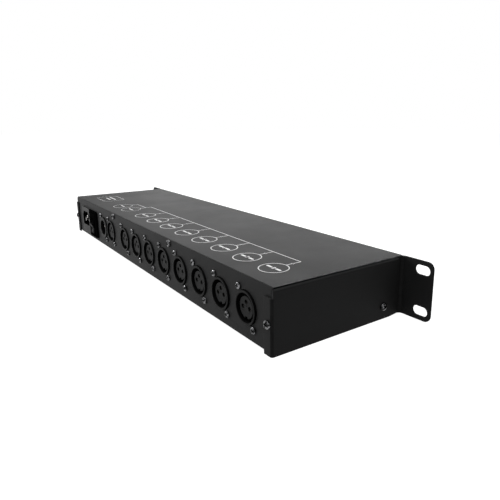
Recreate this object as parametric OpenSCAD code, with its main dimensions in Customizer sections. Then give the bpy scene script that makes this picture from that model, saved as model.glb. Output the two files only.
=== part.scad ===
// Rack-mounted data splitter, one rack unit high: one input, one link and eight isolated outputs.
// X runs to the right seen from the front, Y runs to the rear, Z runs up, in millimetres.
// The origin is the centre of the four rack slots, on the rear face of the ears.

/* [Rack ears] */
// Overall width across both ears
rack_w = 482.6; // [480:0.1:486]
// Height of the ears
ear_h = 43.6; // [43:0.1:46]
// Radius of the outer corners of the ears
ear_corner_r = 5; // [2:0.5:8]
// Distance between the left and right slot centres
slot_pitch_x = 465.1; // [463:0.1:467]
// Distance between the upper and lower slot centres
slot_pitch_z = 30; // [28:0.25:32]
// Height of a slot
slot_w = 6.8; // [5:0.1:8]
// Length of a slot from end to end
slot_l = 12.2; // [10:0.2:14]

/* [Case] */
// Width across the outer faces of the side walls
body_w = 430; // [426:1:434]
// Depth from the rear face of the ears to the rear flanges
body_d = 116; // [112:1:170]
// How far the side walls reach below the ears
side_drop = 0.8; // [0.4:0.1:1.5]
// Length over which the side wall rises to the lower edge of the ear
side_taper = 8; // [4:0.5:12]
// Sheet thickness of the side brackets
bracket_t = 1.5; // [1:0.1:2]
// Sheet thickness of the cover
cover_t = 1.2; // [0.8:0.1:1.6]
// Sheet thickness of the base tray
base_t = 1.2; // [0.8:0.1:1.6]
// Height of the tray underside above the lower edge of the side walls
base_raise = 1.6; // [0.8:0.1:2.5]
// Radius of the hollow corner between side wall and ear
ear_bend_r = 3; // [1.5:0.1:3.5]
// Inner radius of the small sheet folds
fold_in_r = 0.4; // [0.2:0.1:1]
// Outer radius of the bend between the top and the rear
cover_bend_r = 2; // [1.7:0.1:3]
// Step from the side walls in to the edge of the cover
cover_inset = 1; // [0.5:0.1:1.5]
// Step from the front of the ears back to the edge of the cover
cover_front_step = 0.5; // [0:0.1:1]
// Width of the side wall flange that is folded onto the rear
flange_w = 8.2; // [7:0.1:9]
// Height of the upper end of that flange above the slot centre
flange_top = 15; // [10:0.5:16]
// Width of the side wall lip that carries the cover
top_lip_w = 10; // [6:0.5:14]
// Distance that the front lip of the tray reaches in under the cover
front_lip_d = 9; // [5:0.5:12]
// Height of the side lips of the tray
side_lip_h = 13; // [12:0.5:16]
// Height of the rear lip of the tray
rear_lip_h = 4; // [2:0.5:4]
// Gap between sheets that lie beside each other
sheet_gap = 0.2; // [0.1:0.05:0.4]

/* [Case screws] */
// Diameter of a case screw thread
case_screw_d = 3; // [2.5:0.1:3.4]
// Diameter of a case screw head
case_head_d = 5.8; // [5:0.1:6.4]
// Height of a case screw head
case_head_h = 2; // [1.4:0.1:2.4]
// Length of a case screw under its head
case_screw_l = 6; // [5:0.5:7]
// Distance of the side screws behind the ears
side_screw_y = 18; // [14:0.5:30]
// Height of the side screws above the lower edge of the side walls
side_screw_rise = 9.6; // [8:0.1:10.5]
// Height of the corner screws relative to the slot centre
corner_screw_z = -2; // [-6:0.5:4]
// Distance of the two upper rear screws from the middle
block_x = 70; // [62:0.5:72]
// Play between a screw and the wall of its threaded hole
thread_gap = 0.05; // [0.02:0.01:0.1]
// Play between a screw and the wall of its clearance hole
hole_gap = 0.25; // [0.15:0.05:0.4]

/* [Sockets] */
// Position of the first output to the right of the middle
first_output_x = 38.5; // [36:0.5:40]
// Distance between neighbouring outputs
output_pitch = 32; // [26:0.5:32]
// Distance from the first output to the link socket
link_step = 42.5; // [40:0.5:44]
// Distance from the link socket to the input socket
input_step = 26; // [25.5:0.1:28]
// Outer diameter of a socket collar and barrel
collar_d = 23; // [21:0.1:24]
// How far a collar stands out of the rear panel
collar_stand = 1.4; // [0.5:0.1:3]
// Gap between a collar and the edge of its panel hole
collar_gap = 0.3; // [0.1:0.05:0.5]
// Diameter of the well in a female socket
female_bore_d = 20; // [19.2:0.1:20.6]
// Diameter of the well in the male socket
male_bore_d = 16.4; // [16:0.1:17.5]
// Depth of a well below the front of the collar
bore_depth = 15; // [12:0.5:17]
// Thickness of the wall behind a well
barrel_floor_t = 3; // [2:0.5:4]
// Width of a socket flange
socket_flange_w = 25; // [24.6:0.1:25.4]
// Height of a socket flange
socket_flange_h = 31; // [30:0.5:32]
// Thickness of a socket flange
socket_flange_t = 2.5; // [2:0.1:3]
// Radius of the corners of a socket flange
socket_flange_r = 2.5; // [1:0.5:3]
// Distance between the screws of a socket along X
socket_screw_dx = 17; // [16:0.1:19]
// Distance between the screws of a socket along Z
socket_screw_dz = 25; // [24:0.1:25.4]
// Diameter of a socket screw thread
socket_screw_d = 2.5; // [2:0.1:3]
// Diameter of a socket screw head
socket_head_d = 5; // [4.4:0.1:5.4]
// Height of a socket screw head
socket_head_h = 1.7; // [1.2:0.1:2]
// Length of a socket screw under its head
socket_screw_l = 6; // [4.5:0.5:8]
// Diameter of the insert in a female socket
insert_d = 15.2; // [14.6:0.1:15.6]
// Diameter of the tail of an insert behind its well
tail_d = 12.6; // [12:0.1:13]
// How far an insert tail stands out behind the barrel
tail_stand = 3; // [1:0.5:5]
// Distance of each contact from the socket axis
contact_r = 3.81; // [3.6:0.01:4]
// Diameter of a male pin
pin_d = 2.4; // [2.2:0.05:2.5]
// Outer diameter of a female contact sleeve
sleeve_d = 3; // [2.8:0.05:3.2]
// Depth of a contact sleeve below the insert face
sleeve_recess = 1.2; // [0.5:0.1:3]
// Depth of a male pin tip below the front of the collar
pin_recess = 3; // [2:0.5:5]
// Play round a contact in its hole
contact_gap = 0.05; // [0.02:0.01:0.1]
// Side of the square contact legs
leg_s = 0.9; // [0.6:0.1:1]
// Width of the keyway in a socket insert
key_w = 2.6; // [2:0.1:3.4]
// Depth of the keyway in a socket insert
key_h = 1.4; // [0.8:0.1:1.8]
// Thickness of the pin carrier in the male well
carrier_t = 2; // [1.5:0.1:3]

/* [Power inlet] */
// Distance from the side wall in to the middle of the inlet module
inlet_x = 56; // [51:0.5:58]
// Height of the middle of the inlet module
inlet_z = -2; // [-3:0.5:0]
// Width of the inlet module flange
inlet_w = 58; // [57:0.5:60]
// Height of the inlet module flange
inlet_h = 31; // [30.5:0.5:32]
// Thickness of the inlet module flange
inlet_flange_t = 2.2; // [1.5:0.1:3]
// Radius of the corners of the inlet flange
inlet_corner_r = 2; // [1:0.5:3]
// Overlap of the inlet flange on the panel
inlet_lap = 1.4; // [1:0.1:1.8]
// Thinnest wall of the inlet body
inlet_wall = 1.2; // [0.8:0.1:1.4]
// Depth of the inlet body behind the panel
inlet_body_d = 25; // [22:0.5:28]
// Play between the inlet body and the panel cut-out
inlet_gap = 0.2; // [0.1:0.05:0.4]
// Wall of the inlet body beside the power well
well_wall = 2.9; // [2:0.1:3.2]
// Height of the middle of the power well above the middle of the module
well_dz = 2.2; // [1:0.1:3]
// Width of the power well
well_w = 24.2; // [24:0.1:25]
// Height of the power well
well_h = 16.4; // [16:0.1:17]
// Depth of the power well
well_d = 17; // [15:0.5:19]
// Size of the two cut corners of the power well
well_cut = 4.5; // [3:0.5:5.5]
// Distance between the line and neutral blades
blade_pitch = 14; // [13.5:0.1:14.5]
// Height step between the earth blade and the other two
blade_step = 4; // [3.5:0.1:4.5]
// Thickness of a blade
blade_t = 2; // [1.8:0.1:2.2]
// Height of a blade
blade_h = 4; // [3.8:0.1:4.2]
// Depth of the blade tips below the flange
blade_recess = 1.5; // [1:0.5:3]
// Length of the solder tabs behind the inlet body
tab_l = 7; // [5:0.5:9]
// Thickness of the solder tabs
tab_t = 0.8; // [0.6:0.1:1]

/* [Rocker switch] */
// Width of the switch frame
switch_w = 15; // [14.5:0.1:16]
// Height of the switch frame
switch_h = 17.6; // [17:0.1:18.6]
// Overlap of the switch frame on the inlet flange
switch_lap = 0.8; // [0.6:0.1:1]
// How far the switch frame stands out of the inlet flange
switch_stand = 0.8; // [0.5:0.1:1.5]
// Depth of the switch body behind the inlet flange front
switch_depth = 16; // [14:0.5:20]
// Wall of the switch frame
switch_wall = 2; // [1.9:0.1:2.4]
// Thickness of the back of the switch body
switch_floor_t = 2; // [1.5:0.1:3]
// Play between the rocker and its frame
rocker_gap = 0.3; // [0.2:0.05:0.4]
// Height of each raised end of the rocker above its waist
rocker_rise = 1.8; // [1.4:0.1:2.4]
// Height of the rocker waist above its axis
rocker_face = 1.6; // [1.4:0.1:2]
// Tilt of the rocker each side of its middle
rocker_tilt = 10; // [8:1:12]
// Depth of the rocker below its axis
rocker_body = 6; // [5:0.5:8]
// Depth of the two ends of the rocker below its waist
rocker_skirt = 2.2; // [1.8:0.1:2.6]
// Height of the rocker foot
rocker_foot = 6; // [4:0.5:7]
// Diameter of the rocker trunnions
trunnion_d = 2.4; // [2:0.1:3]
// Reach of a trunnion into the wall of the frame
trunnion_reach = 0.8; // [0.5:0.1:0.9]
// Play between a trunnion and its hole
trunnion_gap = 0.05; // [0.02:0.01:0.1]

/* [Fuse drawer] */
// Width of the fuse drawer
drawer_w = 22.6; // [22:0.1:23.4]
// Depth of the fuse drawer
drawer_d = 16; // [14:0.5:19]
// Gap round the fuse drawer
drawer_gap = 0.3; // [0.2:0.05:0.4]
// How far the drawer face stands out of the flange
drawer_stand = 0.6; // [0:0.1:1.2]
// Thickness of the back wall of the drawer
drawer_wall = 2; // [1.2:0.1:3]
// Width of the finger notch in the drawer face
notch_w = 7; // [5:0.5:10]
// Depth of the finger notch
notch_d = 1.6; // [1:0.1:2]
// Height of the finger notch
notch_h = 1.4; // [1:0.1:1.8]
// Length of the fuse
fuse_l = 20; // [19.5:0.1:20.5]
// Diameter of the fuse caps
fuse_d = 5.2; // [5:0.1:5.4]
// Length of a fuse cap
fuse_cap_l = 5; // [4:0.5:6]
// Gap round the fuse in its cradle
fuse_gap = 0.15; // [0.1:0.05:0.3]

/* [Main board] */
// Thickness of every circuit board
board_t = 1.6; // [1:0.1:2]
// Depth of the main board
board_d = 62; // [58:1:66]
// Gap between the socket barrels and the main board
board_lift = 2.9; // [2.5:0.1:3]
// Distance from an end socket axis to the end of the board
board_margin = 17; // [15:0.5:18]
// Gap between the main board and the socket flanges
board_gap = 0.4; // [0.2:0.1:1]
// Width of a mounting block
block_w = 10; // [8:0.5:12]
// Length of a mounting block
block_l = 14; // [13:0.5:16]
// Diameter of the board posts
post_d = 5.5; // [5:0.1:6]
// Distance of the posts from the front edge of a board
post_edge = 5; // [4:0.5:7]
// Length of a board screw under its head
board_screw_l = 5; // [4.5:0.5:6]
// Length of an eight-legged chip
chip_l = 9.8; // [9:0.1:10.5]
// Width of an eight-legged chip
chip_w = 6.4; // [6:0.1:7]
// Height of an eight-legged chip on the board
chip_h = 3.4; // [3:0.1:4]
// Distance between the two chips of a channel
chip_pitch = 13; // [12:0.5:14]
// Distance of the chips from the front edge of the board
chip_y = 13.5; // [13.3:0.1:14.3]
// Length of an isolated supply brick
brick_l = 19.5; // [18:0.5:21]
// Width of an isolated supply brick
brick_w = 6.4; // [6:0.1:7]
// Height of an isolated supply brick
brick_h = 10; // [8:0.5:12]
// Distance of the bricks from the front edge of the board
brick_y = 23; // [21:0.5:24]
// Diameter of a channel capacitor
cap_d = 6.3; // [5:0.1:8]
// Height of a channel capacitor
cap_h = 11; // [9:0.5:12]
// Distance of the capacitors from the front edge of the board
cap_y = 33; // [31.5:0.5:34]

/* [Power supply] */
// Width of the power supply board
supply_w = 70; // [64:1:74]
// Depth of the power supply board
supply_d = 54; // [50:1:56]
// Distance from the front of the case to the power supply board
supply_y = 16; // [14:1:18]
// Gap between the power supply board and the side lip of the tray
supply_side_gap = 4; // [3.5:0.5:6]
// Height of the posts under the power supply board
supply_post_h = 6; // [5:0.5:10]
// Width of the transformer core
core_w = 22; // [18:1:26]
// Depth of the transformer core
core_d = 20; // [16:1:22]
// Height of the transformer core
core_h = 17; // [14:1:20]
// Thickness of the limbs of the transformer core
core_limb = 4; // [3:0.5:5]
// Diameter of the mains capacitor
bulk_d = 13; // [10:0.5:16]
// Height of the mains capacitor
bulk_h = 20; // [16:1:22]
// Distance between the poles of a screw terminal block
pole_pitch = 7; // [6:0.1:7.6]
// Width of a screw terminal block
terminal_w = 8; // [6:0.5:9]
// Height of a screw terminal block
terminal_h = 10; // [8:0.5:11]
// Diameter of an internal wire
wire_d = 2; // [1.4:0.1:2.4]
// Least distance from the mains terminal block to the tabs of the inlet
mains_run = 12.3; // [8:0.1:14]

/* [Indicators] */
// Distance between neighbouring output indicators
led_pitch = 20; // [14:1:24]
// Position of the first output indicator to the right of the middle
first_led_x = -70; // [-80:1:-60]
// Distance from the first output indicator to the signal indicator
signal_step = 35; // [30:1:40]
// Position of the power indicator to the right of the middle
power_led_x = 190; // [180:1:192]
// Diameter of an indicator lens
led_d = 3; // [2.8:0.1:5]
// How far a lens stands out of its bezel
led_stand = 1; // [0.5:0.1:2]
// Length of an indicator behind the front panel
led_l = 6; // [5:0.5:8]
// Outer diameter of a bezel
bezel_d = 6; // [5:0.1:8]
// Thickness of a bezel ring
bezel_t = 0.8; // [0.5:0.1:1.5]
// Wall of the bezel sleeve
bezel_wall = 0.7; // [0.5:0.1:1]
// Height of the indicator board
led_board_h = 12; // [10:1:14]
// Width of the ribbon cable
ribbon_w = 14; // [10:1:20]
// Thickness of the ribbon cable
ribbon_t = 1; // [0.8:0.1:1.2]
// Height of the run of the ribbon cable
ribbon_z = -3; // [-4:0.5:4]

/* [Hidden] */
$fn = 48;

BLACK_SHEET = [0.11, 0.11, 0.12];
BLACK_PLASTIC = [0.07, 0.07, 0.075];
GREY_INSERT = [0.2, 0.2, 0.21];
SCREW_STEEL = [0.62, 0.62, 0.64];
CONTACT_METAL = [0.8, 0.72, 0.5];
BOARD_GREEN = [0.06, 0.3, 0.16];
CUT = 1; // overshoot of a cutting shape
LIP_GAP = 4; // from the bracket lips to the front lip of the tray
LIP_BACK = 5; // from the ear bend back to the bracket lip
SIDE_LIP_GAP = 2; // from the rear corner of the tray to a side lip
LEG_ROOT = 0.5; // length of a contact leg inside its contact
LEG_TIP = 1; // length of a contact leg above the board
SLEEVE_BORE = 11; // depth of the bore in a sleeve contact
RIB_INSET = 0.4; // from the wall of the male well to its rib
SWITCH_TAB_X = 3.5; // distance of the switch tabs from the middle along X
SWITCH_TAB_Z = 3.8; // distance of the switch tabs from the middle along Z
TAB_H = 4; // height of a switch tab
PIN_PITCH = 2.54; // distance between the legs of a chip
PIN_W = 0.5; // width of a chip leg
PIN_REACH = 0.6; // reach of a chip leg beside its body
CHIP_GAP = 0.5; // gap between a chip and the board
THREAD_SPARE = 0.4; // depth of a threaded hole past its screw
PLATE_EDGE = 1; // from the core of the transformer in to its winding
POLE_D = 3; // diameter of the hole over a terminal screw
POLE_DEPTH = 2; // depth of that hole
WIRE_ENTRY = 0.5; // reach of a wire into its terminal
TERMINAL_EDGE = 1; // from a terminal block to the edge of its board

// Heights
top_z = ear_h / 2;
ear_bottom = -ear_h / 2;
cover_under = top_z - cover_t;
wall_bottom = ear_bottom - side_drop;
floor_under = wall_bottom + base_raise;
floor_top = floor_under + base_t;

// Depths
front_face = -bracket_t;
panel_inner = front_face + base_t;
rear_outer = body_d - bracket_t;
rear_inner = rear_outer - cover_t;
flange_inner = rear_inner - socket_flange_t;
collar_front = rear_outer + collar_stand;
well_floor = collar_front - bore_depth;
barrel_back = well_floor - barrel_floor_t;
tail_back = barrel_back - tail_stand;

// Widths
wall_out = body_w / 2;
wall_in = wall_out - bracket_t;
fold_out_r = fold_in_r + bracket_t;
tray_fold_r = fold_in_r + base_t;
cover_bend_in_r = cover_bend_r - cover_t;
cover_half = wall_out - cover_inset;
rear_half = wall_out - fold_out_r - sheet_gap;
tray_half = wall_in - sheet_gap;
ear_bend_out_r = ear_bend_r + bracket_t;
front_half = wall_out + ear_bend_r
    - sqrt(pow(ear_bend_out_r, 2) - pow(ear_bend_out_r - base_t, 2)) - sheet_gap;
corner_screw_x = wall_out - flange_w / 2;
side_screw_z = wall_bottom + side_screw_rise;

// Sockets
OUTPUTS = [1:8];
function output_x(k) = first_output_x - (k - 1) * output_pitch;
link_x = first_output_x + link_step;
input_x = link_x + input_step;
female_x = [for (k = OUTPUTS) output_x(k), link_x];
socket_x = concat(female_x, [input_x]);
contact_spots = [[-contact_r, 0], [0, contact_r], [contact_r, 0]];
leg_bend_y = tail_back - 2;

// Power inlet module
inlet_mid = wall_out - inlet_x;
inlet_front = rear_outer + inlet_flange_t;
inlet_back = rear_inner - inlet_body_d;
inlet_body_w = inlet_w - 2 * inlet_lap - 2 * inlet_gap;
inlet_body_h = inlet_h - 2 * inlet_lap - 2 * inlet_gap;
well_x = inlet_mid + inlet_body_w / 2 - well_wall - well_w / 2;
well_z = inlet_z + well_dz;
blade_low = -blade_step / 2;
blade_spots = [[-blade_pitch / 2, blade_low], [0, -blade_low], [blade_pitch / 2, blade_low]];
switch_x = inlet_mid - inlet_body_w / 2 + inlet_wall + drawer_gap + drawer_w / 2;
switch_hole_h = switch_h - 2 * switch_lap + 2 * inlet_gap;
switch_z = inlet_z - inlet_body_h / 2 + inlet_wall + switch_hole_h / 2;
switch_front = inlet_front + switch_stand;
switch_back = inlet_front - switch_depth;
drawer_hole_h = inlet_body_h - 3 * inlet_wall - switch_hole_h;
drawer_h = drawer_hole_h - 2 * drawer_gap;
drawer_z = inlet_z + inlet_body_h / 2 - inlet_wall - drawer_hole_h / 2;
drawer_front = inlet_front + drawer_stand;
drawer_back = drawer_front - drawer_d;
rocker_w = switch_w - 2 * switch_wall - 2 * rocker_gap;
rocker_h = switch_h - 2 * switch_wall - 2 * rocker_gap - 1;
rocker_axis_y = inlet_front - 1.2;

// Main board, hung under the mounting blocks
board_z = collar_d / 2 + board_lift;
board_top = board_z + board_t;
board_rear = flange_inner - board_gap;
board_front = board_rear - board_d;
board_left = min(socket_x) - board_margin;
board_right = max(socket_x) + board_margin;
block_h = cover_under - sheet_gap - board_top;
block_screw_z = board_top + block_h / 2;
block_hole_l = case_screw_l - cover_t + 1;
block_lower_y = rear_inner - block_l + case_screw_d;
post_spots = [for (x = [board_left + post_edge, (board_left + board_right) / 2, board_right - post_edge])
    [x, board_front + post_edge]];

// Power supply board
supply_x = wall_in - sheet_gap - base_t - supply_side_gap - supply_w;
supply_z = floor_top + supply_post_h;
supply_top = supply_z + board_t;
supply_spots = [for (x = [post_edge, supply_w - post_edge]) for (y = [post_edge, supply_d - post_edge])
    [supply_x + x, supply_y + y]];
tab_back = inlet_back - tab_l;
mains_end_y = min(supply_y + supply_d - TERMINAL_EDGE, tab_back - mains_run);
mains_terminal = [well_x - 1.5 * pole_pitch, mains_end_y - terminal_w];
output_terminal = [supply_x + 2 * post_edge, supply_y + TERMINAL_EDGE];
core_y = (output_terminal.y + terminal_w + mains_terminal.y) / 2;
wire_z = supply_top + terminal_h / 2;

// Indicators
output_leds = [for (k = OUTPUTS) first_led_x + (k - 1) * led_pitch];
led_x = concat([first_led_x - signal_step], output_leds, [power_led_x]);
led_back = panel_inner + led_l;
led_margin = 8; // from the end lamps to the ends of their board

// Quarter of a bent sheet in a plane, about the centre [x, y]; sx and sy choose the quarter.
module bend(x, y, r_in, t, sx, sy) {
    r_out = r_in + t;
    intersection() {
        translate([x, y])
            difference() {
                circle(r = r_out);
                circle(r = r_in);
            }
        translate([x + (sx < 0 ? -r_out - CUT : 0), y + (sy < 0 ? -r_out - CUT : 0)])
            square(r_out + CUT);
    }
}

// Rectangle from corner to corner.
module block2(x0, y0, x1, y1) {
    translate([x0, y0])
        square([x1 - x0, y1 - y0]);
}

// Box from corner to corner.
module block3(a, b) {
    translate(a)
        cube(b - a);
}

// Rectangle with rounded corners, centred.
module round_rect(w, h, r) {
    union() {
        square([w - 2 * r, h], center = true);
        square([w, h - 2 * r], center = true);
        for (x = [-1, 1], y = [-1, 1])
            translate([x * (w / 2 - r), y * (h / 2 - r)])
                circle(r = r);
    }
}

// Slot with round ends, centred, from end to end along X.
module slot2(l, w) {
    union() {
        square([l - w, w], center = true);
        for (s = [-1, 1])
            translate([s * (l - w) / 2, 0])
                circle(d = w);
    }
}

// Draws a shape given in Y and Z, extruded along X from x0 to x1.
module along_x(x0, x1) {
    translate([x0, 0, 0])
        rotate([90, 0, 90])
            linear_extrude(x1 - x0)
                children();
}

// Draws a shape given in X and Z, extruded along Y from y0 to y1.
module along_y(y0, y1) {
    translate([0, y1, 0])
        rotate([90, 0, 0])
            linear_extrude(y1 - y0)
                children();
}

// Round bar along Y from y0 to y1.
module bar_y(x, z, d, y0, y1) {
    translate([x, y0, z])
        rotate([-90, 0, 0])
            cylinder(d = d, h = y1 - y0);
}

// Pan head screw along -Z with its seat at z = 0 and a cross recess.
module pan_screw(thread_d, head_d, head_h, l) {
    dome_r = head_d;
    recess_w = head_d * 0.14;
    difference() {
        union() {
            intersection() {
                cylinder(d = head_d, h = head_h);
                translate([0, 0, head_h - dome_r])
                    sphere(r = dome_r);
            }
            translate([0, 0, -l])
                cylinder(d = thread_d, h = l);
        }
        for (a = [0, 90])
            rotate([0, 0, a])
                translate([-head_d * 0.27, -recess_w / 2, head_h * 0.45])
                    cube([head_d * 0.54, recess_w, head_h]);
    }
}

// Straight round bar between two points.
module rod(a, b, d) {
    v = b - a;
    l = norm(v);
    translate(a)
        rotate([0, acos(v.z / l), atan2(v.y, v.x)])
            cylinder(d = d, h = l);
}

// Wire along a list of points.
module wire(points, d) {
    for (i = [0:len(points) - 2])
        rod(points[i], points[i + 1], d);
    for (i = [1:len(points) - 2])
        translate(points[i])
            sphere(d = d);
}

// Side wall, ear, rear flange and cover lip bent from one sheet, drawn for the right side.
module bracket_form() {
    wall_top = cover_under - fold_out_r;
    lip_front = ear_bend_r + LIP_BACK;
    bend_x = wall_out + ear_bend_r;
    fold_x = wall_out - fold_out_r;
    difference() {
        union() {
            // Ear with rounded outer corners
            along_y(front_face, 0)
                intersection() {
                    translate([rack_w / 2 - rack_w / 4, 0])
                        round_rect(rack_w / 2, ear_h, ear_corner_r);
                    block2(bend_x, ear_bottom, rack_w / 2, top_z);
                }
            // Bend between ear and wall
            translate([0, 0, ear_bottom])
                linear_extrude(ear_h)
                    bend(bend_x, ear_bend_r, ear_bend_r, bracket_t, -1, -1);
            // Wall, with its lower front edge rising to the ear
            along_x(wall_in, wall_out)
                polygon([
                    [ear_bend_r, ear_bottom],
                    [ear_bend_r + side_taper, wall_bottom],
                    [body_d - fold_out_r, wall_bottom],
                    [body_d - fold_out_r, flange_top],
                    [rear_outer, flange_top],
                    [rear_outer, wall_top],
                    [ear_bend_r, wall_top]
                ]);
            // Flange folded onto the rear
            translate([0, 0, wall_bottom])
                linear_extrude(flange_top - wall_bottom) {
                    bend(fold_x, body_d - fold_out_r, fold_in_r, bracket_t, 1, 1);
                    block2(wall_out - flange_w, rear_outer, fold_x, body_d);
                }
            // Fold at the upper edge
            along_y(ear_bend_r, rear_outer)
                bend(fold_x, wall_top, fold_in_r, bracket_t, 1, 1);
            // Lip under the cover
            along_y(lip_front, rear_inner - cover_bend_in_r)
                block2(wall_out - top_lip_w, cover_under - bracket_t, fold_x, cover_under);
        }
        // Room for the edge of the cover
        block3([0, front_face - CUT, cover_under],
            [cover_half + sheet_gap, ear_bend_r + CUT, top_z + CUT]);
        // Rack slots
        for (z = [-1, 1])
            translate([slot_pitch_x / 2, 0, z * slot_pitch_z / 2])
                rotate([90, 0, 0])
                    linear_extrude(4 * bracket_t, center = true)
                        slot2(slot_l, slot_w);
        // Side screw hole and corner screw hole
        translate([wall_in - CUT, side_screw_y, side_screw_z])
            rotate([0, 90, 0])
                cylinder(d = case_screw_d + 2 * hole_gap, h = bracket_t + 2 * CUT);
        bar_y(corner_screw_x, corner_screw_z, case_screw_d + 2 * hole_gap, rear_outer - CUT, body_d + CUT);
    }
}

module side_bracket_right() {
    color(BLACK_SHEET)
        bracket_form();
}

module side_bracket_left() {
    color(BLACK_SHEET)
        mirror([1, 0, 0])
            bracket_form();
}

// Top and rear panel bent from one sheet.
module cover() {
    bend_y = rear_outer - cover_bend_r;
    bend_z = top_z - cover_bend_r;
    color(BLACK_SHEET)
        difference() {
            along_x(-cover_half, cover_half) {
                block2(front_face + cover_front_step, cover_under, bend_y, top_z);
                bend(bend_y, bend_z, cover_bend_in_r, cover_t, 1, 1);
                block2(rear_inner, floor_under, rear_outer, bend_z);
            }
            // Room for the side walls beside the rear panel
            for (s = [-1, 1])
                block3([s > 0 ? rear_half : -cover_half - CUT, bend_y - CUT, floor_under - CUT],
                    [s > 0 ? cover_half + CUT : -rear_half, rear_outer + CUT, cover_under]);
            for (x = socket_x) {
                bar_y(x, 0, collar_d + 2 * collar_gap, rear_inner - CUT, rear_outer + CUT);
                for (s = [-1, 1])
                    bar_y(x + s * socket_screw_dx / 2, s * socket_screw_dz / 2,
                        socket_screw_d + 2 * hole_gap, rear_inner - CUT, rear_outer + CUT);
            }
            for (s = [-1, 1]) {
                bar_y(s * corner_screw_x, corner_screw_z, case_screw_d + 2 * thread_gap,
                    rear_inner - CUT, rear_outer + CUT);
                bar_y(s * block_x, block_screw_z, case_screw_d + 2 * hole_gap,
                    rear_inner - CUT, rear_outer + CUT);
            }
            // Cut-out for the inlet module
            translate([inlet_mid, 0, inlet_z])
                along_y(rear_inner - CUT, rear_outer + CUT)
                    square([inlet_w - 2 * inlet_lap, inlet_h - 2 * inlet_lap], center = true);
        }
}

// Floor, front panel and inner lips bent from one sheet.
module base_tray() {
    rear_edge = rear_inner - sheet_gap;
    fold_z = floor_under + tray_fold_r;
    lip_half = wall_out - top_lip_w - LIP_GAP;
    side_lip_y = ear_bend_r + side_taper;
    color(BLACK_SHEET)
        difference() {
            union() {
                // Floor with its rear lip
                along_x(-tray_half, tray_half) {
                    block2(front_face + tray_fold_r, floor_under, rear_edge - tray_fold_r, floor_top);
                    bend(rear_edge - tray_fold_r, fold_z, fold_in_r, base_t, 1, -1);
                    block2(rear_edge - base_t, fold_z, rear_edge, floor_under + rear_lip_h);
                    bend(front_face + tray_fold_r, fold_z, fold_in_r, base_t, -1, -1);
                }
                // Front panel
                along_x(-front_half, front_half)
                    block2(front_face, fold_z, panel_inner, cover_under - tray_fold_r);
                for (s = [-1, 1])
                    along_x(s > 0 ? lip_half : -front_half, s > 0 ? front_half : -lip_half)
                        block2(front_face, cover_under - tray_fold_r, panel_inner, cover_under);
                // Front lip under the cover
                along_x(-lip_half, lip_half) {
                    bend(front_face + tray_fold_r, cover_under - tray_fold_r, fold_in_r, base_t, -1, 1);
                    block2(front_face + tray_fold_r, cover_under - base_t,
                        front_face + front_lip_d, cover_under);
                }
                // Side lips, inside the side walls
                for (s = [-1, 1])
                    translate([s * (tray_half - base_t / 2) - base_t / 2, side_lip_y, floor_under])
                        cube([base_t, rear_edge - 2 * tray_fold_r - SIDE_LIP_GAP - side_lip_y, side_lip_h]);
            }
            // Side screw holes
            translate([0, side_screw_y, side_screw_z])
                rotate([0, 90, 0])
                    cylinder(d = case_screw_d + 2 * thread_gap, h = body_w + 2 * CUT, center = true);
            // Indicator holes
            for (x = led_x)
                bar_y(x, 0, led_d + 2 * bezel_wall + 2 * thread_gap, front_face - CUT, panel_inner + CUT);
        }
}

// Screws that hold the rear flanges to the rear panel.
module corner_screws() {
    color(SCREW_STEEL)
        for (s = [-1, 1])
            translate([s * corner_screw_x, body_d, corner_screw_z])
                rotate([-90, 0, 0])
                    pan_screw(case_screw_d, case_head_d, case_head_h, case_screw_l);
}

// Screws through the rear panel into the mounting blocks.
module block_screws() {
    color(SCREW_STEEL)
        for (s = [-1, 1])
            translate([s * block_x, rear_outer, block_screw_z])
                rotate([-90, 0, 0])
                    pan_screw(case_screw_d, case_head_d, case_head_h, case_screw_l);
}

// Screws through the side walls into the tray.
module side_screws() {
    color(SCREW_STEEL)
        for (s = [-1, 1])
            translate([s * wall_out, side_screw_y, side_screw_z])
                rotate([0, s * 90, 0])
                    pan_screw(case_screw_d, case_head_d, case_head_h, case_screw_l);
}

// Two screws for each socket, on its rising diagonal.
module socket_screws() {
    color(SCREW_STEEL)
        for (x = socket_x, s = [-1, 1])
            translate([x + s * socket_screw_dx / 2, rear_outer, s * socket_screw_dz / 2])
                rotate([-90, 0, 0])
                    pan_screw(socket_screw_d, socket_head_d, socket_head_h, socket_screw_l);
}

// Socket shell behind the rear panel, with its collar through the panel hole.
module socket_housing(x, bore_d) {
    color(BLACK_PLASTIC)
        translate([x, 0, 0])
            difference() {
                union() {
                    along_y(flange_inner, rear_inner)
                        round_rect(socket_flange_w, socket_flange_h, socket_flange_r);
                    bar_y(0, 0, collar_d, barrel_back, collar_front);
                }
                bar_y(0, 0, bore_d, well_floor, collar_front + CUT);
                bar_y(0, 0, tail_d + 2 * contact_gap, barrel_back - CUT, well_floor + CUT);
                for (s = [-1, 1])
                    bar_y(s * socket_screw_dx / 2, s * socket_screw_dz / 2,
                        socket_screw_d + 2 * thread_gap, flange_inner - CUT, rear_inner + CUT);
            }
}

// Insert with three contact holes; its face is level with the rear panel.
module female_insert(x) {
    hole_d = sleeve_d + 2 * contact_gap;
    color(GREY_INSERT)
        translate([x, 0, 0])
            difference() {
                union() {
                    bar_y(0, 0, insert_d, well_floor, rear_outer);
                    bar_y(0, 0, tail_d, tail_back, well_floor);
                }
                for (p = contact_spots)
                    bar_y(p.x, p.y, hole_d, tail_back - CUT, rear_outer + CUT);
                block3([-key_w / 2, well_floor + carrier_t, -insert_d / 2 - CUT],
                    [key_w / 2, rear_outer + CUT, -insert_d / 2 + key_h]);
            }
}

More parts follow.
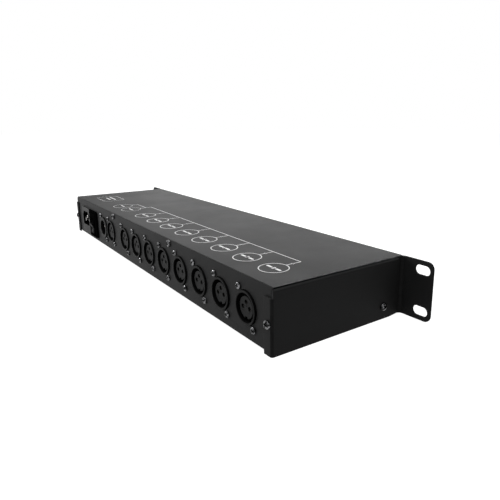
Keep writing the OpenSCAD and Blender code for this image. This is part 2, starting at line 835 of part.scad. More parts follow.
// Pin carrier at the foot of the male well, with its polarising rib.
module male_insert(x) {
    hole_d = pin_d + 2 * contact_gap;
    face = well_floor + carrier_t;
    color(GREY_INSERT)
        translate([x, 0, 0])
            difference() {
                union() {
                    bar_y(0, 0, male_bore_d - 2 * contact_gap, well_floor, face);
                    bar_y(0, 0, tail_d, tail_back, well_floor);
                    block3([-key_w / 2, face - CUT, -male_bore_d / 2 + RIB_INSET],
                        [key_w / 2, collar_front - carrier_t, -male_bore_d / 2 + key_h]);
                }
                for (p = contact_spots)
                    bar_y(p.x, p.y, hole_d, tail_back - CUT, face + CUT);
            }
}

// Leg from the back of a contact up through the board.
module contact_leg(x, z, step) {
    y = leg_bend_y - step;
    r = leg_s / 2;
    block3([x - r, y - r, z - r], [x + r, tail_back + LEG_ROOT, z + r]);
    block3([x - r, y - r, z - r], [x + r, y + r, board_top + LEG_TIP]);
}

// Three sleeve contacts of a female socket.
module sleeve_contacts(x) {
    front = rear_outer - sleeve_recess;
    for (p = contact_spots)
        difference() {
            union() {
                bar_y(x + p.x, p.y, sleeve_d, tail_back, front);
                contact_leg(x + p.x, p.y, p.y / 2);
            }
            bar_y(x + p.x, p.y, pin_d, front - SLEEVE_BORE, front + CUT);
        }
}

// Three pins of the male socket with rounded tips.
module pin_contacts(x) {
    tip = collar_front - pin_recess;
    for (p = contact_spots) {
        bar_y(x + p.x, p.y, pin_d, tail_back, tip - pin_d / 2);
        translate([x + p.x, tip - pin_d / 2, p.y])
            sphere(d = pin_d);
        contact_leg(x + p.x, p.y, p.y / 2);
    }
}

module output_contacts() {
    color(CONTACT_METAL)
        for (k = OUTPUTS)
            sleeve_contacts(output_x(k));
}

module link_contacts() {
    color(CONTACT_METAL)
        sleeve_contacts(link_x);
}

module input_pins() {
    color(CONTACT_METAL)
        pin_contacts(input_x);
}

// Outline of the power well with its two cut upper corners.
module well_outline(grow) {
    w = well_w / 2 + grow;
    h = well_h / 2 + grow;
    c = well_cut;
    polygon([[-w, -h], [w, -h], [w, h - c], [w - c, h], [-w + c, h], [-w, h - c]]);
}

// Snap-in inlet module: flange outside the panel, body inside it.
module inlet_housing() {
    color(BLACK_PLASTIC)
        difference() {
            union() {
                translate([inlet_mid, 0, inlet_z])
                    along_y(rear_outer, inlet_front)
                        round_rect(inlet_w, inlet_h, inlet_corner_r);
                translate([inlet_mid, 0, inlet_z])
                    along_y(inlet_back, rear_outer)
                        square([inlet_body_w, inlet_body_h], center = true);
            }
            // Power well
            translate([well_x, 0, well_z])
                along_y(inlet_front - well_d, inlet_front + CUT)
                    well_outline(0);
            for (p = blade_spots)
                translate([well_x + p.x, 0, well_z + p.y])
                    along_y(inlet_back - CUT, inlet_front)
                        square([blade_t + 2 * contact_gap, blade_h + 2 * contact_gap], center = true);
            // Room for the switch
            translate([switch_x, 0, switch_z])
                along_y(switch_back - CUT, inlet_front + CUT)
                    square([switch_w - 2 * switch_lap + 2 * inlet_gap, switch_hole_h], center = true);
            translate([switch_x, 0, switch_z])
                along_y(inlet_back - CUT, switch_back)
                    square([2 * SWITCH_TAB_X + TAB_H, 2 * SWITCH_TAB_Z + 2 * TAB_H], center = true);
            // Room for the fuse drawer
            translate([switch_x, 0, drawer_z])
                along_y(drawer_back - drawer_gap, inlet_front + CUT)
                    square([drawer_w + 2 * drawer_gap, drawer_hole_h], center = true);
        }
}

// Line, neutral and earth blades with their solder tabs.
module inlet_blades() {
    color(SCREW_STEEL)
        for (p = blade_spots)
            translate([well_x + p.x, 0, well_z + p.y]) {
                along_y(inlet_back - tab_t, inlet_front - blade_recess)
                    square([blade_t, blade_h], center = true);
                along_y(tab_back, inlet_back)
                    square([tab_t, blade_h], center = true);
            }
}

// Switch frame and body, clipped into the inlet module.
module switch_frame() {
    in_w = switch_w - 2 * switch_wall;
    in_h = switch_h - 2 * switch_wall;
    color(BLACK_PLASTIC)
        difference() {
            union() {
                translate([switch_x, 0, switch_z])
                    along_y(inlet_front, switch_front)
                        round_rect(switch_w, switch_h, switch_lap);
                translate([switch_x, 0, switch_z])
                    along_y(switch_back, inlet_front)
                        square([switch_w - 2 * switch_lap, switch_h - 2 * switch_lap], center = true);
            }
            translate([switch_x, 0, switch_z])
                along_y(switch_back + switch_floor_t, switch_front + CUT)
                    square([in_w, in_h], center = true);
            translate([switch_x, rocker_axis_y, switch_z])
                rotate([0, 90, 0])
                    cylinder(d = trunnion_d + 2 * trunnion_gap, center = true,
                        h = in_w + 2 * (trunnion_reach + contact_gap));
        }
}

// Four flat terminals behind the switch.
module switch_tabs() {
    color(SCREW_STEEL)
        for (x = [-1, 1], z = [-1, 1])
            translate([switch_x + x * SWITCH_TAB_X, 0, switch_z + z * SWITCH_TAB_Z])
                along_y(tab_back, switch_back)
                    square([tab_t, TAB_H], center = true);
}

// Rocker with two sloping faces, drawn with its lower half pressed in.
module rocker() {
    half = rocker_h / 2;
    color(BLACK_PLASTIC)
        translate([switch_x, rocker_axis_y, switch_z])
            rotate([-rocker_tilt, 0, 0])
                union() {
                    along_x(-rocker_w / 2, rocker_w / 2)
                        polygon([
                            [rocker_face + rocker_rise, half],
                            [rocker_face, 0],
                            [rocker_face + rocker_rise, -half],
                            [rocker_face - rocker_skirt, -half],
                            [-rocker_body, -rocker_foot / 2],
                            [-rocker_body, rocker_foot / 2],
                            [rocker_face - rocker_skirt, half]
                        ]);
                    rotate([0, 90, 0])
                        cylinder(d = trunnion_d, h = rocker_w + 2 * rocker_gap + 2 * trunnion_reach,
                            center = true);
                }
}

// Drawer with an open cradle for the fuse.
module fuse_drawer() {
    pocket_l = fuse_l + 2 * fuse_gap;
    pocket_h = fuse_d + 2 * fuse_gap;
    pocket_y = drawer_back + drawer_wall;
    color(BLACK_PLASTIC)
        difference() {
            translate([switch_x, 0, drawer_z])
                along_y(drawer_back, drawer_front)
                    square([drawer_w, drawer_h], center = true);
            // Fuse cradle, open on top
            block3([switch_x - pocket_l / 2, pocket_y, drawer_z - pocket_h / 2],
                [switch_x + pocket_l / 2, pocket_y + pocket_h, drawer_z + drawer_h / 2 + CUT]);
            // Finger notch in the lower edge of the face
            block3([switch_x - notch_w / 2, drawer_front - notch_d, drawer_z - drawer_h / 2 - CUT],
                [switch_x + notch_w / 2, drawer_front + CUT, drawer_z - drawer_h / 2 + notch_h]);
        }
}

// Glass fuse with two metal caps.
module fuse() {
    y = drawer_back + drawer_wall + fuse_gap + fuse_d / 2;
    color(SCREW_STEEL)
        translate([switch_x, y, drawer_z])
            rotate([0, 90, 0])
                union() {
                    cylinder(d = fuse_d * 0.9, h = fuse_l - fuse_cap_l, center = true);
                    for (s = [-1, 1])
                        translate([0, 0, s * (fuse_l - fuse_cap_l) / 2])
                            cylinder(d = fuse_d, h = fuse_cap_l, center = true);
                }
}

// Splitter board, hung above the socket barrels.
module main_board() {
    hole_d = leg_s * sqrt(2) + 2 * thread_gap;
    color(BOARD_GREEN)
        difference() {
            block3([board_left, board_front, board_z], [board_right, board_rear, board_top]);
            for (x = socket_x, p = contact_spots)
                translate([x + p.x, leg_bend_y - p.y / 2, board_z - CUT])
                    cylinder(d = hole_d, h = board_t + 2 * CUT, $fn = 24);
            for (p = post_spots)
                translate([p.x, p.y, board_z - CUT])
                    cylinder(d = case_screw_d + 2 * hole_gap, h = board_t + 2 * CUT);
            for (s = [-1, 1])
                translate([s * block_x, block_lower_y, board_z - CUT])
                    cylinder(d = case_screw_d + 2 * hole_gap, h = board_t + 2 * CUT);
        }
}

// Threaded blocks that hang the board from the rear panel.
module mounting_blocks() {
    color(SCREW_STEEL)
        for (s = [-1, 1])
            difference() {
                along_x(s * block_x - block_w / 2, s * block_x + block_w / 2)
                    polygon([
                        [rear_inner - block_l, board_top],
                        [rear_inner, board_top],
                        [rear_inner, board_top + block_h - cover_bend_in_r],
                        [rear_inner - cover_bend_in_r, board_top + block_h],
                        [rear_inner - block_l, board_top + block_h]
                    ]);
                bar_y(s * block_x, block_screw_z, case_screw_d + 2 * thread_gap,
                    rear_inner - block_hole_l, rear_inner + CUT);
                translate([s * block_x, block_lower_y, board_top - CUT])
                    cylinder(d = case_screw_d + 2 * thread_gap,
                        h = board_screw_l - board_t + CUT + THREAD_SPARE);
            }
}

// Posts from the floor to the front edge of the main board.
module board_posts() {
    color(SCREW_STEEL)
        for (p = post_spots)
            translate([p.x, p.y, 0])
                difference() {
                    translate([0, 0, floor_top])
                        cylinder(d = post_d, h = board_z - floor_top);
                    translate([0, 0, board_z - board_screw_l])
                        cylinder(d = case_screw_d + 2 * thread_gap, h = board_screw_l + CUT);
                }
}

// Screws on the posts and under the mounting blocks.
module board_screws() {
    color(SCREW_STEEL) {
        for (p = post_spots)
            translate([p.x, p.y, board_top])
                pan_screw(case_screw_d, case_head_d, case_head_h, board_screw_l);
        for (s = [-1, 1])
            translate([s * block_x, block_lower_y, board_z])
                rotate([180, 0, 0])
                    pan_screw(case_screw_d, case_head_d, case_head_h, board_screw_l);
    }
}

// Eight-legged chip hanging under the board.
module chip(x, y) {
    leg_h = CHIP_GAP + chip_h * 0.6;
    block3([x - chip_w / 2, y - chip_l / 2, board_z - CHIP_GAP - chip_h],
        [x + chip_w / 2, y + chip_l / 2, board_z - CHIP_GAP]);
    for (s = [-1, 1], i = [-1.5:1:1.5])
        translate([x + s * (chip_w + PIN_REACH) / 2, y + i * PIN_PITCH, board_z - leg_h / 2])
            cube([PIN_REACH, PIN_W, leg_h], center = true);
}

module optocouplers() {
    color(BLACK_PLASTIC)
        for (x = socket_x)
            chip(x - chip_pitch / 2, board_front + chip_y);
}

module line_drivers() {
    color(BLACK_PLASTIC)
        for (x = socket_x)
            chip(x + chip_pitch / 2, board_front + chip_y);
}

// One isolated supply brick for each output.
module isolated_supplies() {
    color(BLACK_PLASTIC)
        for (k = OUTPUTS)
            block3([output_x(k) - brick_l / 2, board_front + brick_y - brick_w / 2, board_z - brick_h],
                [output_x(k) + brick_l / 2, board_front + brick_y + brick_w / 2, board_z]);
}

module board_capacitors() {
    color(BLACK_PLASTIC)
        for (x = socket_x)
            translate([x, board_front + cap_y, board_z - cap_h])
                cylinder(d = cap_d, h = cap_h);
}

// Mains supply board on four posts beside the inlet.
module supply_board() {
    color(BOARD_GREEN)
        difference() {
            block3([supply_x, supply_y, supply_z], [supply_x + supply_w, supply_y + supply_d, supply_top]);
            for (p = supply_spots)
                translate([p.x, p.y, supply_z - CUT])
                    cylinder(d = case_screw_d + 2 * hole_gap, h = board_t + 2 * CUT);
        }
}

module supply_posts() {
    color(SCREW_STEEL)
        for (p = supply_spots)
            translate([p.x, p.y, floor_top])
                difference() {
                    cylinder(d = post_d, h = supply_post_h);
                    translate([0, 0, supply_post_h - board_screw_l + board_t - THREAD_SPARE])
                        cylinder(d = case_screw_d + 2 * thread_gap, h = board_screw_l);
                }
}

module supply_screws() {
    color(SCREW_STEEL)
        for (p = supply_spots)
            translate([p.x, p.y, supply_top])
                pan_screw(case_screw_d, case_head_d, case_head_h, board_screw_l);
}

// Transformer: core with a winding between its cheeks.
module supply_transformer() {
    window_w = core_w - 2 * core_limb;
    window_h = core_h - 2 * core_limb;
    color(CONTACT_METAL)
        translate([supply_x + supply_w / 2, core_y, supply_top])
            translate([-core_w / 2, -core_d / 2, 0])
                difference() {
                    cube([core_w, core_d, core_h]);
                    for (y = [-CUT, core_d - PLATE_EDGE])
                        translate([core_limb, y, core_limb])
                            cube([window_w, PLATE_EDGE + CUT, window_h]);
                }
}

module supply_capacitor() {
    color(BLACK_PLASTIC)
        translate([supply_x + supply_w - post_edge - bulk_d / 2, supply_y + supply_d / 2, supply_top])
            cylinder(d = bulk_d, h = bulk_h);
}

// Screw terminal block with three poles.
module terminal(corner) {
    difference() {
        block3([corner.x, corner.y, supply_top],
            [corner.x + 3 * pole_pitch, corner.y + terminal_w, supply_top + terminal_h]);
        for (i = [0.5:1:2.5])
            translate([corner.x + i * pole_pitch, corner.y + terminal_w / 2,
                supply_top + terminal_h - POLE_DEPTH])
                cylinder(d = POLE_D, h = POLE_DEPTH + CUT, $fn = 24);
        // Wire entries
        for (i = [0.5:1:2.5])
            bar_y(corner.x + i * pole_pitch, wire_z, wire_d + 2 * contact_gap,
                corner.y - CUT, corner.y + terminal_w + CUT);
    }
}

// Mains terminal at the rear edge and low voltage terminal at the front edge.
module supply_terminals() {
    color(BOARD_GREEN) {
        terminal(mains_terminal);
        terminal(output_terminal);
    }
}

// Mains wires from the mains terminal to the inlet tabs, one for each blade.
module mains_wires() {
    color(BLACK_PLASTIC)
        for (i = [0:2]) {
            x = mains_terminal.x + (i + 0.5) * pole_pitch;
            z = well_z + blade_spots[i].y;
            y_drop = (tab_back + mains_end_y) / 2;
            wire([[x, mains_end_y - WIRE_ENTRY, wire_z], [x, y_drop, wire_z],
                [x, y_drop, z], [x, tab_back, z]], wire_d);
        }
}

// Low voltage wires from the supply to the underside of the main board.
module low_voltage_wires() {
    color(BLACK_PLASTIC)
        for (i = [1:2]) {
            x0 = output_terminal.x + (i - 0.5) * pole_pitch;
            x1 = board_right - 7 * wire_d - 2 * i * wire_d;
            y0 = output_terminal.y + WIRE_ENTRY;
            y1 = board_front + 1.5 * wire_d;
            y_run = output_terminal.y + 0.5 * wire_d - i * 1.6 * wire_d;
            z_run = wire_z + 3 * wire_d;
            wire([[x0, y0, wire_z], [x0, y_run, wire_z], [x0, y_run, z_run], [x1, y_run, z_run],
                [x1, y1, z_run], [x1, y1, board_z]], wire_d);
        }
}

// Board behind the front panel that carries the indicators.
module led_board() {
    color(BOARD_GREEN)
        block3([led_x[0] - led_margin, led_back, -led_board_h / 2],
            [power_led_x + led_margin, led_back + board_t, led_board_h / 2]);
}

// Ribbon from the indicator board to the front edge of the main board.
module led_ribbon() {
    y0 = led_back + board_t;
    y1 = board_front + 2 * ribbon_t;
    color(GREY_INSERT)
        translate([first_led_x - ribbon_w / 2, 0, 0])
            along_x(0, ribbon_w) {
                block2(y0, ribbon_z, y1, ribbon_z + ribbon_t);
                block2(y1 - ribbon_t, ribbon_z, y1, board_z);
            }
}

// Signal, output and power lamps.
module indicator_lamps() {
    front = front_face - bezel_t - led_stand;
    color([0.75, 0.9, 0.75])
        for (x = led_x) {
            bar_y(x, 0, led_d, front + led_d / 2, led_back);
            translate([x, front + led_d / 2, 0])
                sphere(d = led_d);
        }
}

// Clip bezels that hold the lamps in the front panel.
module indicator_bezels() {
    sleeve_outer = led_d + 2 * bezel_wall;
    color(BLACK_PLASTIC)
        for (x = led_x)
            difference() {
                union() {
                    bar_y(x, 0, bezel_d, front_face - bezel_t, front_face);
                    bar_y(x, 0, sleeve_outer, front_face - bezel_t, panel_inner + 2 * bezel_t);
                }
                bar_y(x, 0, led_d + 2 * contact_gap,
                    front_face - bezel_t - CUT, panel_inner + 2 * bezel_t + CUT);
            }
}

base_tray();
cover();
side_bracket_left();
side_bracket_right();
corner_screws();
block_screws();
side_screws();
socket_screws();
socket_housing(output_x(1), female_bore_d);  // output_1_housing
socket_housing(output_x(2), female_bore_d);  // output_2_housing
socket_housing(output_x(3), female_bore_d);  // output_3_housing
socket_housing(output_x(4), female_bore_d);  // output_4_housing
socket_housing(output_x(5), female_bore_d);  // output_5_housing
socket_housing(output_x(6), female_bore_d);  // output_6_housing
socket_housing(output_x(7), female_bore_d);  // output_7_housing
socket_housing(output_x(8), female_bore_d);  // output_8_housing
female_insert(output_x(1));  // output_1_insert
female_insert(output_x(2));  // output_2_insert
female_insert(output_x(3));  // output_3_insert
female_insert(output_x(4));  // output_4_insert
female_insert(output_x(5));  // output_5_insert
female_insert(output_x(6));  // output_6_insert
female_insert(output_x(7));  // output_7_insert
female_insert(output_x(8));  // output_8_insert
socket_housing(link_x, female_bore_d);  // link_housing
female_insert(link_x);  // link_insert
socket_housing(input_x, male_bore_d);  // input_housing
male_insert(input_x);  // input_insert
output_contacts();
link_contacts();
input_pins();
inlet_housing();
inlet_blades();
switch_frame();
switch_tabs();
rocker();
fuse_drawer();
fuse();
main_board();
mounting_blocks();
board_posts();
board_screws();
optocouplers();
line_drivers();
isolated_supplies();
board_capacitors();
supply_board();
supply_posts();
supply_screws();
supply_transformer();
supply_capacitor();
supply_terminals();
mains_wires();
low_voltage_wires();
led_board();
led_ribbon();
indicator_lamps();
indicator_bezels();
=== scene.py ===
"""Looks of the rack-mounted data splitter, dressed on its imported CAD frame.

Objects are in metres in the row frame: X to the right seen from the front, Y to the rear, where
the sockets are, and Z up. The origin lies between the four rack slots. The sizes of finishes and
of the studio are in metres too, and those of every sub-assembly are in millimetres.
"""

import logging
import math
from dataclasses import dataclass
from enum import Enum
from typing import Callable, Protocol, Sequence

import bmesh
import bpy
import numpy as np
from bmesh.types import BMesh, BMVert
from bpy.types import Material, Mesh, MeshPolygon, Node, NodeSocket, NodeTree, Object
from mathutils import Matrix, Vector
from mathutils.kdtree import KDTree


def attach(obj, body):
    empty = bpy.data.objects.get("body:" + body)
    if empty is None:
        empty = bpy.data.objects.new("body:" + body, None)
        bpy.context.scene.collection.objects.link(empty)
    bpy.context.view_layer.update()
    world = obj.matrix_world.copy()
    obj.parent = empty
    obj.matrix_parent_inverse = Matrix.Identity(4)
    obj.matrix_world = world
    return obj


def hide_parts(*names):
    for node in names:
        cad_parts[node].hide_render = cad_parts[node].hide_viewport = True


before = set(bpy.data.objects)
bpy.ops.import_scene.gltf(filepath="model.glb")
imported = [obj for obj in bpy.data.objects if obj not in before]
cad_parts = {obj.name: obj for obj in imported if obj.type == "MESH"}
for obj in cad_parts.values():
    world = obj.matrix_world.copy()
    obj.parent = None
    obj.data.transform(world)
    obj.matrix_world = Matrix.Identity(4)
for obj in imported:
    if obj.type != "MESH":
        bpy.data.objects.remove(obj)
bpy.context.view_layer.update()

MM = 0.001
LOG = logging.getLogger("data_splitter")
Point = tuple[float, float, float]
Flat = tuple[float, float]
Colour = tuple[float, float, float]
Path = tuple[list[Flat], bool]
Feeds = dict[str | int, object]

WHITE = (1.0, 1.0, 1.0, 1.0)
QUARTER = math.pi / 2.0
CHANNELS = 8


class Body(str, Enum):
    """The rigid bodies that pieces ride on."""

    CHASSIS = "chassis"
    ROCKER = "rocker"
    DRAWER = "fuse_drawer"


class Gender(Enum):
    """Kinds of round socket."""

    FEMALE = "sleeves behind an insert"
    MALE = "pins in an open well"


# ---- node trees -----------------------------------------------------------------------------


class TreeWriter:
    """Adds nodes to one node tree."""

    def __init__(self, tree: NodeTree) -> None:
        """Takes a tree over and empties it."""
        self.tree = tree
        tree.nodes.clear()

    def feed(self, node: Node, feeds: Feeds) -> None:
        """Links or sets inputs of a node.

        Args:
            node: the node.
            feeds: the socket or the fixed value for each input, by name or index.
        """
        for key, value in feeds.items():
            if isinstance(value, NodeSocket):
                self.tree.links.new(value, node.inputs[key])
            else:
                node.inputs[key].default_value = value

    def node(self, kind: str, feeds: Feeds | None = None, **settings: object) -> Node:
        """Adds a node.

        Args:
            kind: the node's type name.
            feeds: the socket or the fixed value for each input, by name or index.
            settings: properties of the node.

        Returns:
            The new node.
        """
        node = self.tree.nodes.new(kind)
        for name, value in settings.items():
            setattr(node, name, value)
        self.feed(node, feeds or {})
        return node


class ShaderWriter(TreeWriter):
    """Writes the node tree of one material on a principled shader."""

    def __init__(self, name: str) -> None:
        """Starts a material.

        Args:
            name: its name.
        """
        self.material = bpy.data.materials.new(name)
        self.material.use_nodes = True
        super().__init__(self.material.node_tree)
        self.shader = self.node("ShaderNodeBsdfPrincipled")
        self.node("ShaderNodeOutputMaterial", {"Surface": self.shader.outputs["BSDF"]})
        self.place = self.node("ShaderNodeTexCoord").outputs["Object"]

    def shade(self, **inputs: object) -> None:
        """Links or sets the shader's inputs; an underscore in a name stands for a space."""
        self.feed(self.shader, {name.replace("_", " "): value for name, value in inputs.items()})

    def noise(
        self, grain: float, detail: float = 3.0, stretch: Point = (1.0, 1.0, 1.0)
    ) -> NodeSocket:
        """Adds a noise pattern on object coordinates.

        Args:
            grain: size of its features in metres.
            detail: number of finer layers.
            stretch: how much the pattern is squeezed along each axis.

        Returns:
            The pattern's factor.
        """
        place = self.node("ShaderNodeMapping", {"Vector": self.place, "Scale": stretch})
        feeds = {"Vector": place.outputs["Vector"], "Scale": 1.0 / grain, "Detail": detail}
        return self.node("ShaderNodeTexNoise", {**feeds, "Roughness": 0.6}).outputs["Fac"]

    def cells(self, grain: float) -> NodeSocket:
        """Adds a cell pattern of that grain and returns its distance."""
        feeds = {"Vector": self.place, "Scale": 1.0 / grain}
        return self.node("ShaderNodeTexVoronoi", feeds).outputs["Distance"]

    def carried(self, name: str) -> NodeSocket:
        """Returns the value of an attribute that the mesh carries."""
        return self.node("ShaderNodeAttribute", attribute_name=name).outputs["Fac"]

    def ramp(self, factor: NodeSocket, *stops: tuple[float, Colour]) -> NodeSocket:
        """Turns a factor into a colour.

        Args:
            factor: the driving value.
            stops: position and colour of the first stop and of the second.

        Returns:
            The colour.
        """
        ramp = self.node("ShaderNodeValToRGB", {"Fac": factor})
        for element, (position, colour) in zip(ramp.color_ramp.elements, stops):
            element.position = position
            element.color = (*colour, 1.0)
        return ramp.outputs["Color"]

    def span(self, factor: NodeSocket, to: Flat, between: Flat = (0.3, 0.7)) -> NodeSocket:
        """Maps a factor from one span to another.

        Args:
            factor: the driving value.
            to: lowest and highest result.
            between: values of the factor that give them.

        Returns:
            The result.
        """
        feeds = {"Value": factor, "From Min": between[0], "From Max": between[1]}
        feeds.update({"To Min": to[0], "To Max": to[1]})
        return self.node("ShaderNodeMapRange", feeds).outputs["Result"]

    def edges(self) -> NodeSocket:
        """Returns a value that rises from 0 to 1 on outer edges."""
        bent = self.node("ShaderNodeNewGeometry").outputs["Pointiness"]
        return self.span(bent, (0.0, 1.0), (0.52, 0.6))

    def mix(self, factor: NodeSocket, first: NodeSocket, second: Colour) -> NodeSocket:
        """Mixes a colour with a plain one where the factor is high."""
        feeds = {"Factor": factor, 6: first, 7: (*second, 1.0)}
        return self.node("ShaderNodeMix", feeds, data_type="RGBA").outputs[2]

    def times(self, first: NodeSocket, second: NodeSocket) -> NodeSocket:
        """Multiplies two values."""
        return self.node("ShaderNodeMath", {0: first, 1: second}, operation="MULTIPLY").outputs[0]

    def bump(self, height: NodeSocket, depth: float, strength: float) -> None:
        """Adds relief; a second call lies on top of the first.

        Args:
            height: the pattern that rises.
            depth: how far it rises, in metres.
            strength: how much of it shows.
        """
        feeds = {"Height": height, "Strength": strength, "Distance": depth}
        bump = self.node("ShaderNodeBump", feeds)
        normal = self.shader.inputs["Normal"]
        if normal.is_linked:
            self.feed(bump, {"Normal": normal.links[0].from_socket})
        self.shade(Normal=bump.outputs["Normal"])


class NodePattern(TreeWriter):
    """A Geometry Nodes tree that is written here and then turned into plain meshes."""

    def __init__(self, name: str) -> None:
        """Starts a tree with a geometry input and output.

        Args:
            name: its name.
        """
        super().__init__(bpy.data.node_groups.new(name, "GeometryNodeTree"))
        kind = "NodeSocketGeometry"
        for side in ("INPUT", "OUTPUT"):
            self.tree.interface.new_socket("Geometry", in_out=side, socket_type=kind)
        self.entry = self.node("NodeGroupInput")

    def value(self, label: str, kind: str, default: object = None) -> NodeSocket:
        """Adds a named input.

        Args:
            label: its name.
            kind: its socket type, such as NodeSocketFloat.
            default: its default value, if it has one.

        Returns:
            The socket inside the tree.
        """
        item = self.tree.interface.new_socket(label, in_out="INPUT", socket_type=kind)
        if default is not None:
            item.default_value = default
        return self.entry.outputs[label]

    def end(self, geometry: NodeSocket, material: NodeSocket) -> None:
        """Ends the tree in Realize Instances and Set Material.

        Args:
            geometry: what the tree has made.
            material: its material.
        """
        real = self.node("GeometryNodeRealizeInstances", {"Geometry": geometry}).outputs["Geometry"]
        coat = self.node("GeometryNodeSetMaterial", {"Geometry": real, "Material": material})
        self.node("NodeGroupOutput", {"Geometry": coat.outputs["Geometry"]})

    def grow(self, piece: Object, values: dict[str, object]) -> Object:
        """Runs the tree on a piece and keeps the result as its plain mesh.

        Args:
            piece: the object that carries the tree's input geometry.
            values: values of the named inputs.

        Returns:
            The same object.
        """
        modifier = piece.modifiers.new(self.tree.name, "NODES")
        modifier.node_group = self.tree
        for item in self.tree.interface.items_tree:
            if item.item_type == "SOCKET" and item.in_out == "INPUT" and item.name in values:
                modifier[item.identifier] = values[item.name]
        return settle(piece)


def seat_pattern() -> NodePattern:
    """Builds the tree that sets a template on each seat, turned outwards and spun at random.

    Returns:
        The tree.
    """
    p = NodePattern("set_on_seats")
    template = p.value("Template", "NodeSocketObject")
    scale = p.value("Scale", "NodeSocketFloat", 1.0)
    spin = p.value("Largest spin", "NodeSocketFloat", 0.0)
    seed = p.value("Seed", "NodeSocketInt", 1)
    material = p.value("Material", "NodeSocketMaterial")
    info = p.node("GeometryNodeObjectInfo", {"Object": template}, transform_space="ORIGINAL")
    named = p.node("GeometryNodeInputNamedAttribute", {"Name": "outward"}, data_type="FLOAT_VECTOR")
    outward = {"Vector": named.outputs["Attribute"]}
    align = p.node("FunctionNodeAlignRotationToVector", outward, axis="Z")
    feeds = {"Points": p.entry.outputs["Geometry"], "Instance": info.outputs["Geometry"]}
    feeds.update({"Rotation": align.outputs["Rotation"], "Scale": scale})
    place = p.node("GeometryNodeInstanceOnPoints", feeds)
    chance = p.node("FunctionNodeRandomValue", {3: spin, "Seed": seed}, data_type="FLOAT")
    euler = p.node("ShaderNodeCombineXYZ", {"Z": chance.outputs[1]}).outputs["Vector"]
    feeds = {"Instances": place.outputs["Instances"], "Rotation": euler}
    turn = p.node("GeometryNodeRotateInstances", feeds)
    p.end(turn.outputs["Instances"], material)
    return p


def line_pattern() -> NodePattern:
    """Builds the tree that lays a flat line of ink along the edges of its input.

    Returns:
        The tree.
    """
    p = NodePattern("lay_lines")
    width = p.value("Line width", "NodeSocketFloat", 0.5 * MM)
    thickness = p.value("Ink thickness", "NodeSocketFloat", 0.03 * MM)
    material = p.value("Material", "NodeSocketMaterial")
    path = p.node("GeometryNodeMeshToCurve", {"Mesh": p.entry.outputs["Geometry"]})
    level = p.node("GeometryNodeSetCurveNormal", {"Curve": path.outputs["Curve"]}, mode="Z_UP")
    size = {"Width": width, "Height": thickness}
    section = p.node("GeometryNodeCurvePrimitiveQuadrilateral", size, mode="RECTANGLE")
    feeds = {"Curve": level.outputs["Curve"], "Profile Curve": section.outputs["Curve"]}
    sweep = p.node("GeometryNodeCurveToMesh", {**feeds, "Fill Caps": True})
    p.end(sweep.outputs["Mesh"], material)
    return p


# ---- finishes -------------------------------------------------------------------------------


def grey(value: float, tint: float = 0.0) -> Colour:
    """Returns a grey; a positive tint makes it a little cooler."""
    return (value * (1.0 - tint), value, value * (1.0 + tint))


def tone_of(colour: Colour, factor: float) -> Colour:
    """Returns a darker or lighter tone of a colour."""
    return tuple(part * factor for part in colour)


class Finish(Protocol):
    """Anything that can make its own material."""

    name: str

    def make(self) -> Material:
        """Builds the material."""


@dataclass(frozen=True)
class PowderCoat:
    """Fine textured powder coat on sheet metal, with an edge tone painted in patches on its marked
    edges: a painted highlight where it is lighter than the coat, painted shade where it is darker.
    """

    name: str = "black_powder_coat"
    tone: float = 0.0115
    # painted light: colour of the marked edges; above the tone it is a painted highlight, below it
    # painted shade
    worn: float = 0.004
    tint: float = 0.01
    dust: float = 2.5
    grain: float = 0.5 * MM
    cloud: float = 70 * MM
    # size of the patches that break up the painted edge tone
    rubbed: float = 6 * MM
    patch: float = 30 * MM
    gloss: Flat = (0.52, 0.6)
    shine: float = 0.06
    relief: float = 0.022 * MM

    def make(self) -> Material:
        """Builds the coat's material.

        Returns:
            The material.
        """
        w = ShaderWriter(self.name)
        speck = w.noise(self.grain, 2.0)
        dark, light = (grey(self.tone * lift, self.tint) for lift in (0.9, 1.12))
        base = w.ramp(w.noise(self.cloud, 4.0), (0.32, dark), (0.68, light))
        dusty = w.mix(w.span(speck, (0.0, 0.1), (0.55, 0.75)), base, grey(self.tone * self.dust))
        # mask of the painted edge tone: the marked edge faces, broken up in patches
        painted_edge_mask = w.span(w.noise(self.rubbed, 4.0), (0.45, 1.0), (0.35, 0.6))
        coat = w.mix(w.times(w.carried("edge"), painted_edge_mask), dusty, grey(self.worn, 0.02))
        gloss = w.span(w.noise(self.patch, 4.0), self.gloss, (0.2, 0.8))
        w.shade(Base_Color=coat, Roughness=gloss, Specular_IOR_Level=self.shine)
        w.bump(w.cells(self.grain), self.relief, 0.4)
        w.bump(speck, self.relief, 0.5)
        return w.material


@dataclass(frozen=True)
class MouldedPlastic:
    """Injection moulded plastic with a fine spark-eroded skin."""

    name: str
    colour: Colour
    roughness: float = 0.42
    specular: float = 0.45
    grain: float = 0.18 * MM
    flow: float = 9 * MM
    patch: float = 3 * MM
    relief: float = 0.006 * MM

    def make(self) -> Material:
        """Builds the plastic's material.

        Returns:
            The material.
        """
        w = ShaderWriter(self.name)
        dark, light, rim = (tone_of(self.colour, lift) for lift in (0.88, 1.12, 2.2))
        base = w.ramp(w.noise(self.flow, stretch=(1.0, 0.4, 1.0)), (0.3, dark), (0.7, light))
        skin = w.mix(w.span(w.edges(), (0.0, 0.35), (0.2, 1.0)), base, rim)
        gloss = w.span(w.noise(self.patch, 4.0), (self.roughness - 0.06, self.roughness + 0.08))
        w.shade(Base_Color=skin, Roughness=gloss, Specular_IOR_Level=self.specular)
        w.bump(w.noise(self.grain, 2.0), self.relief, 0.5)
        return w.material


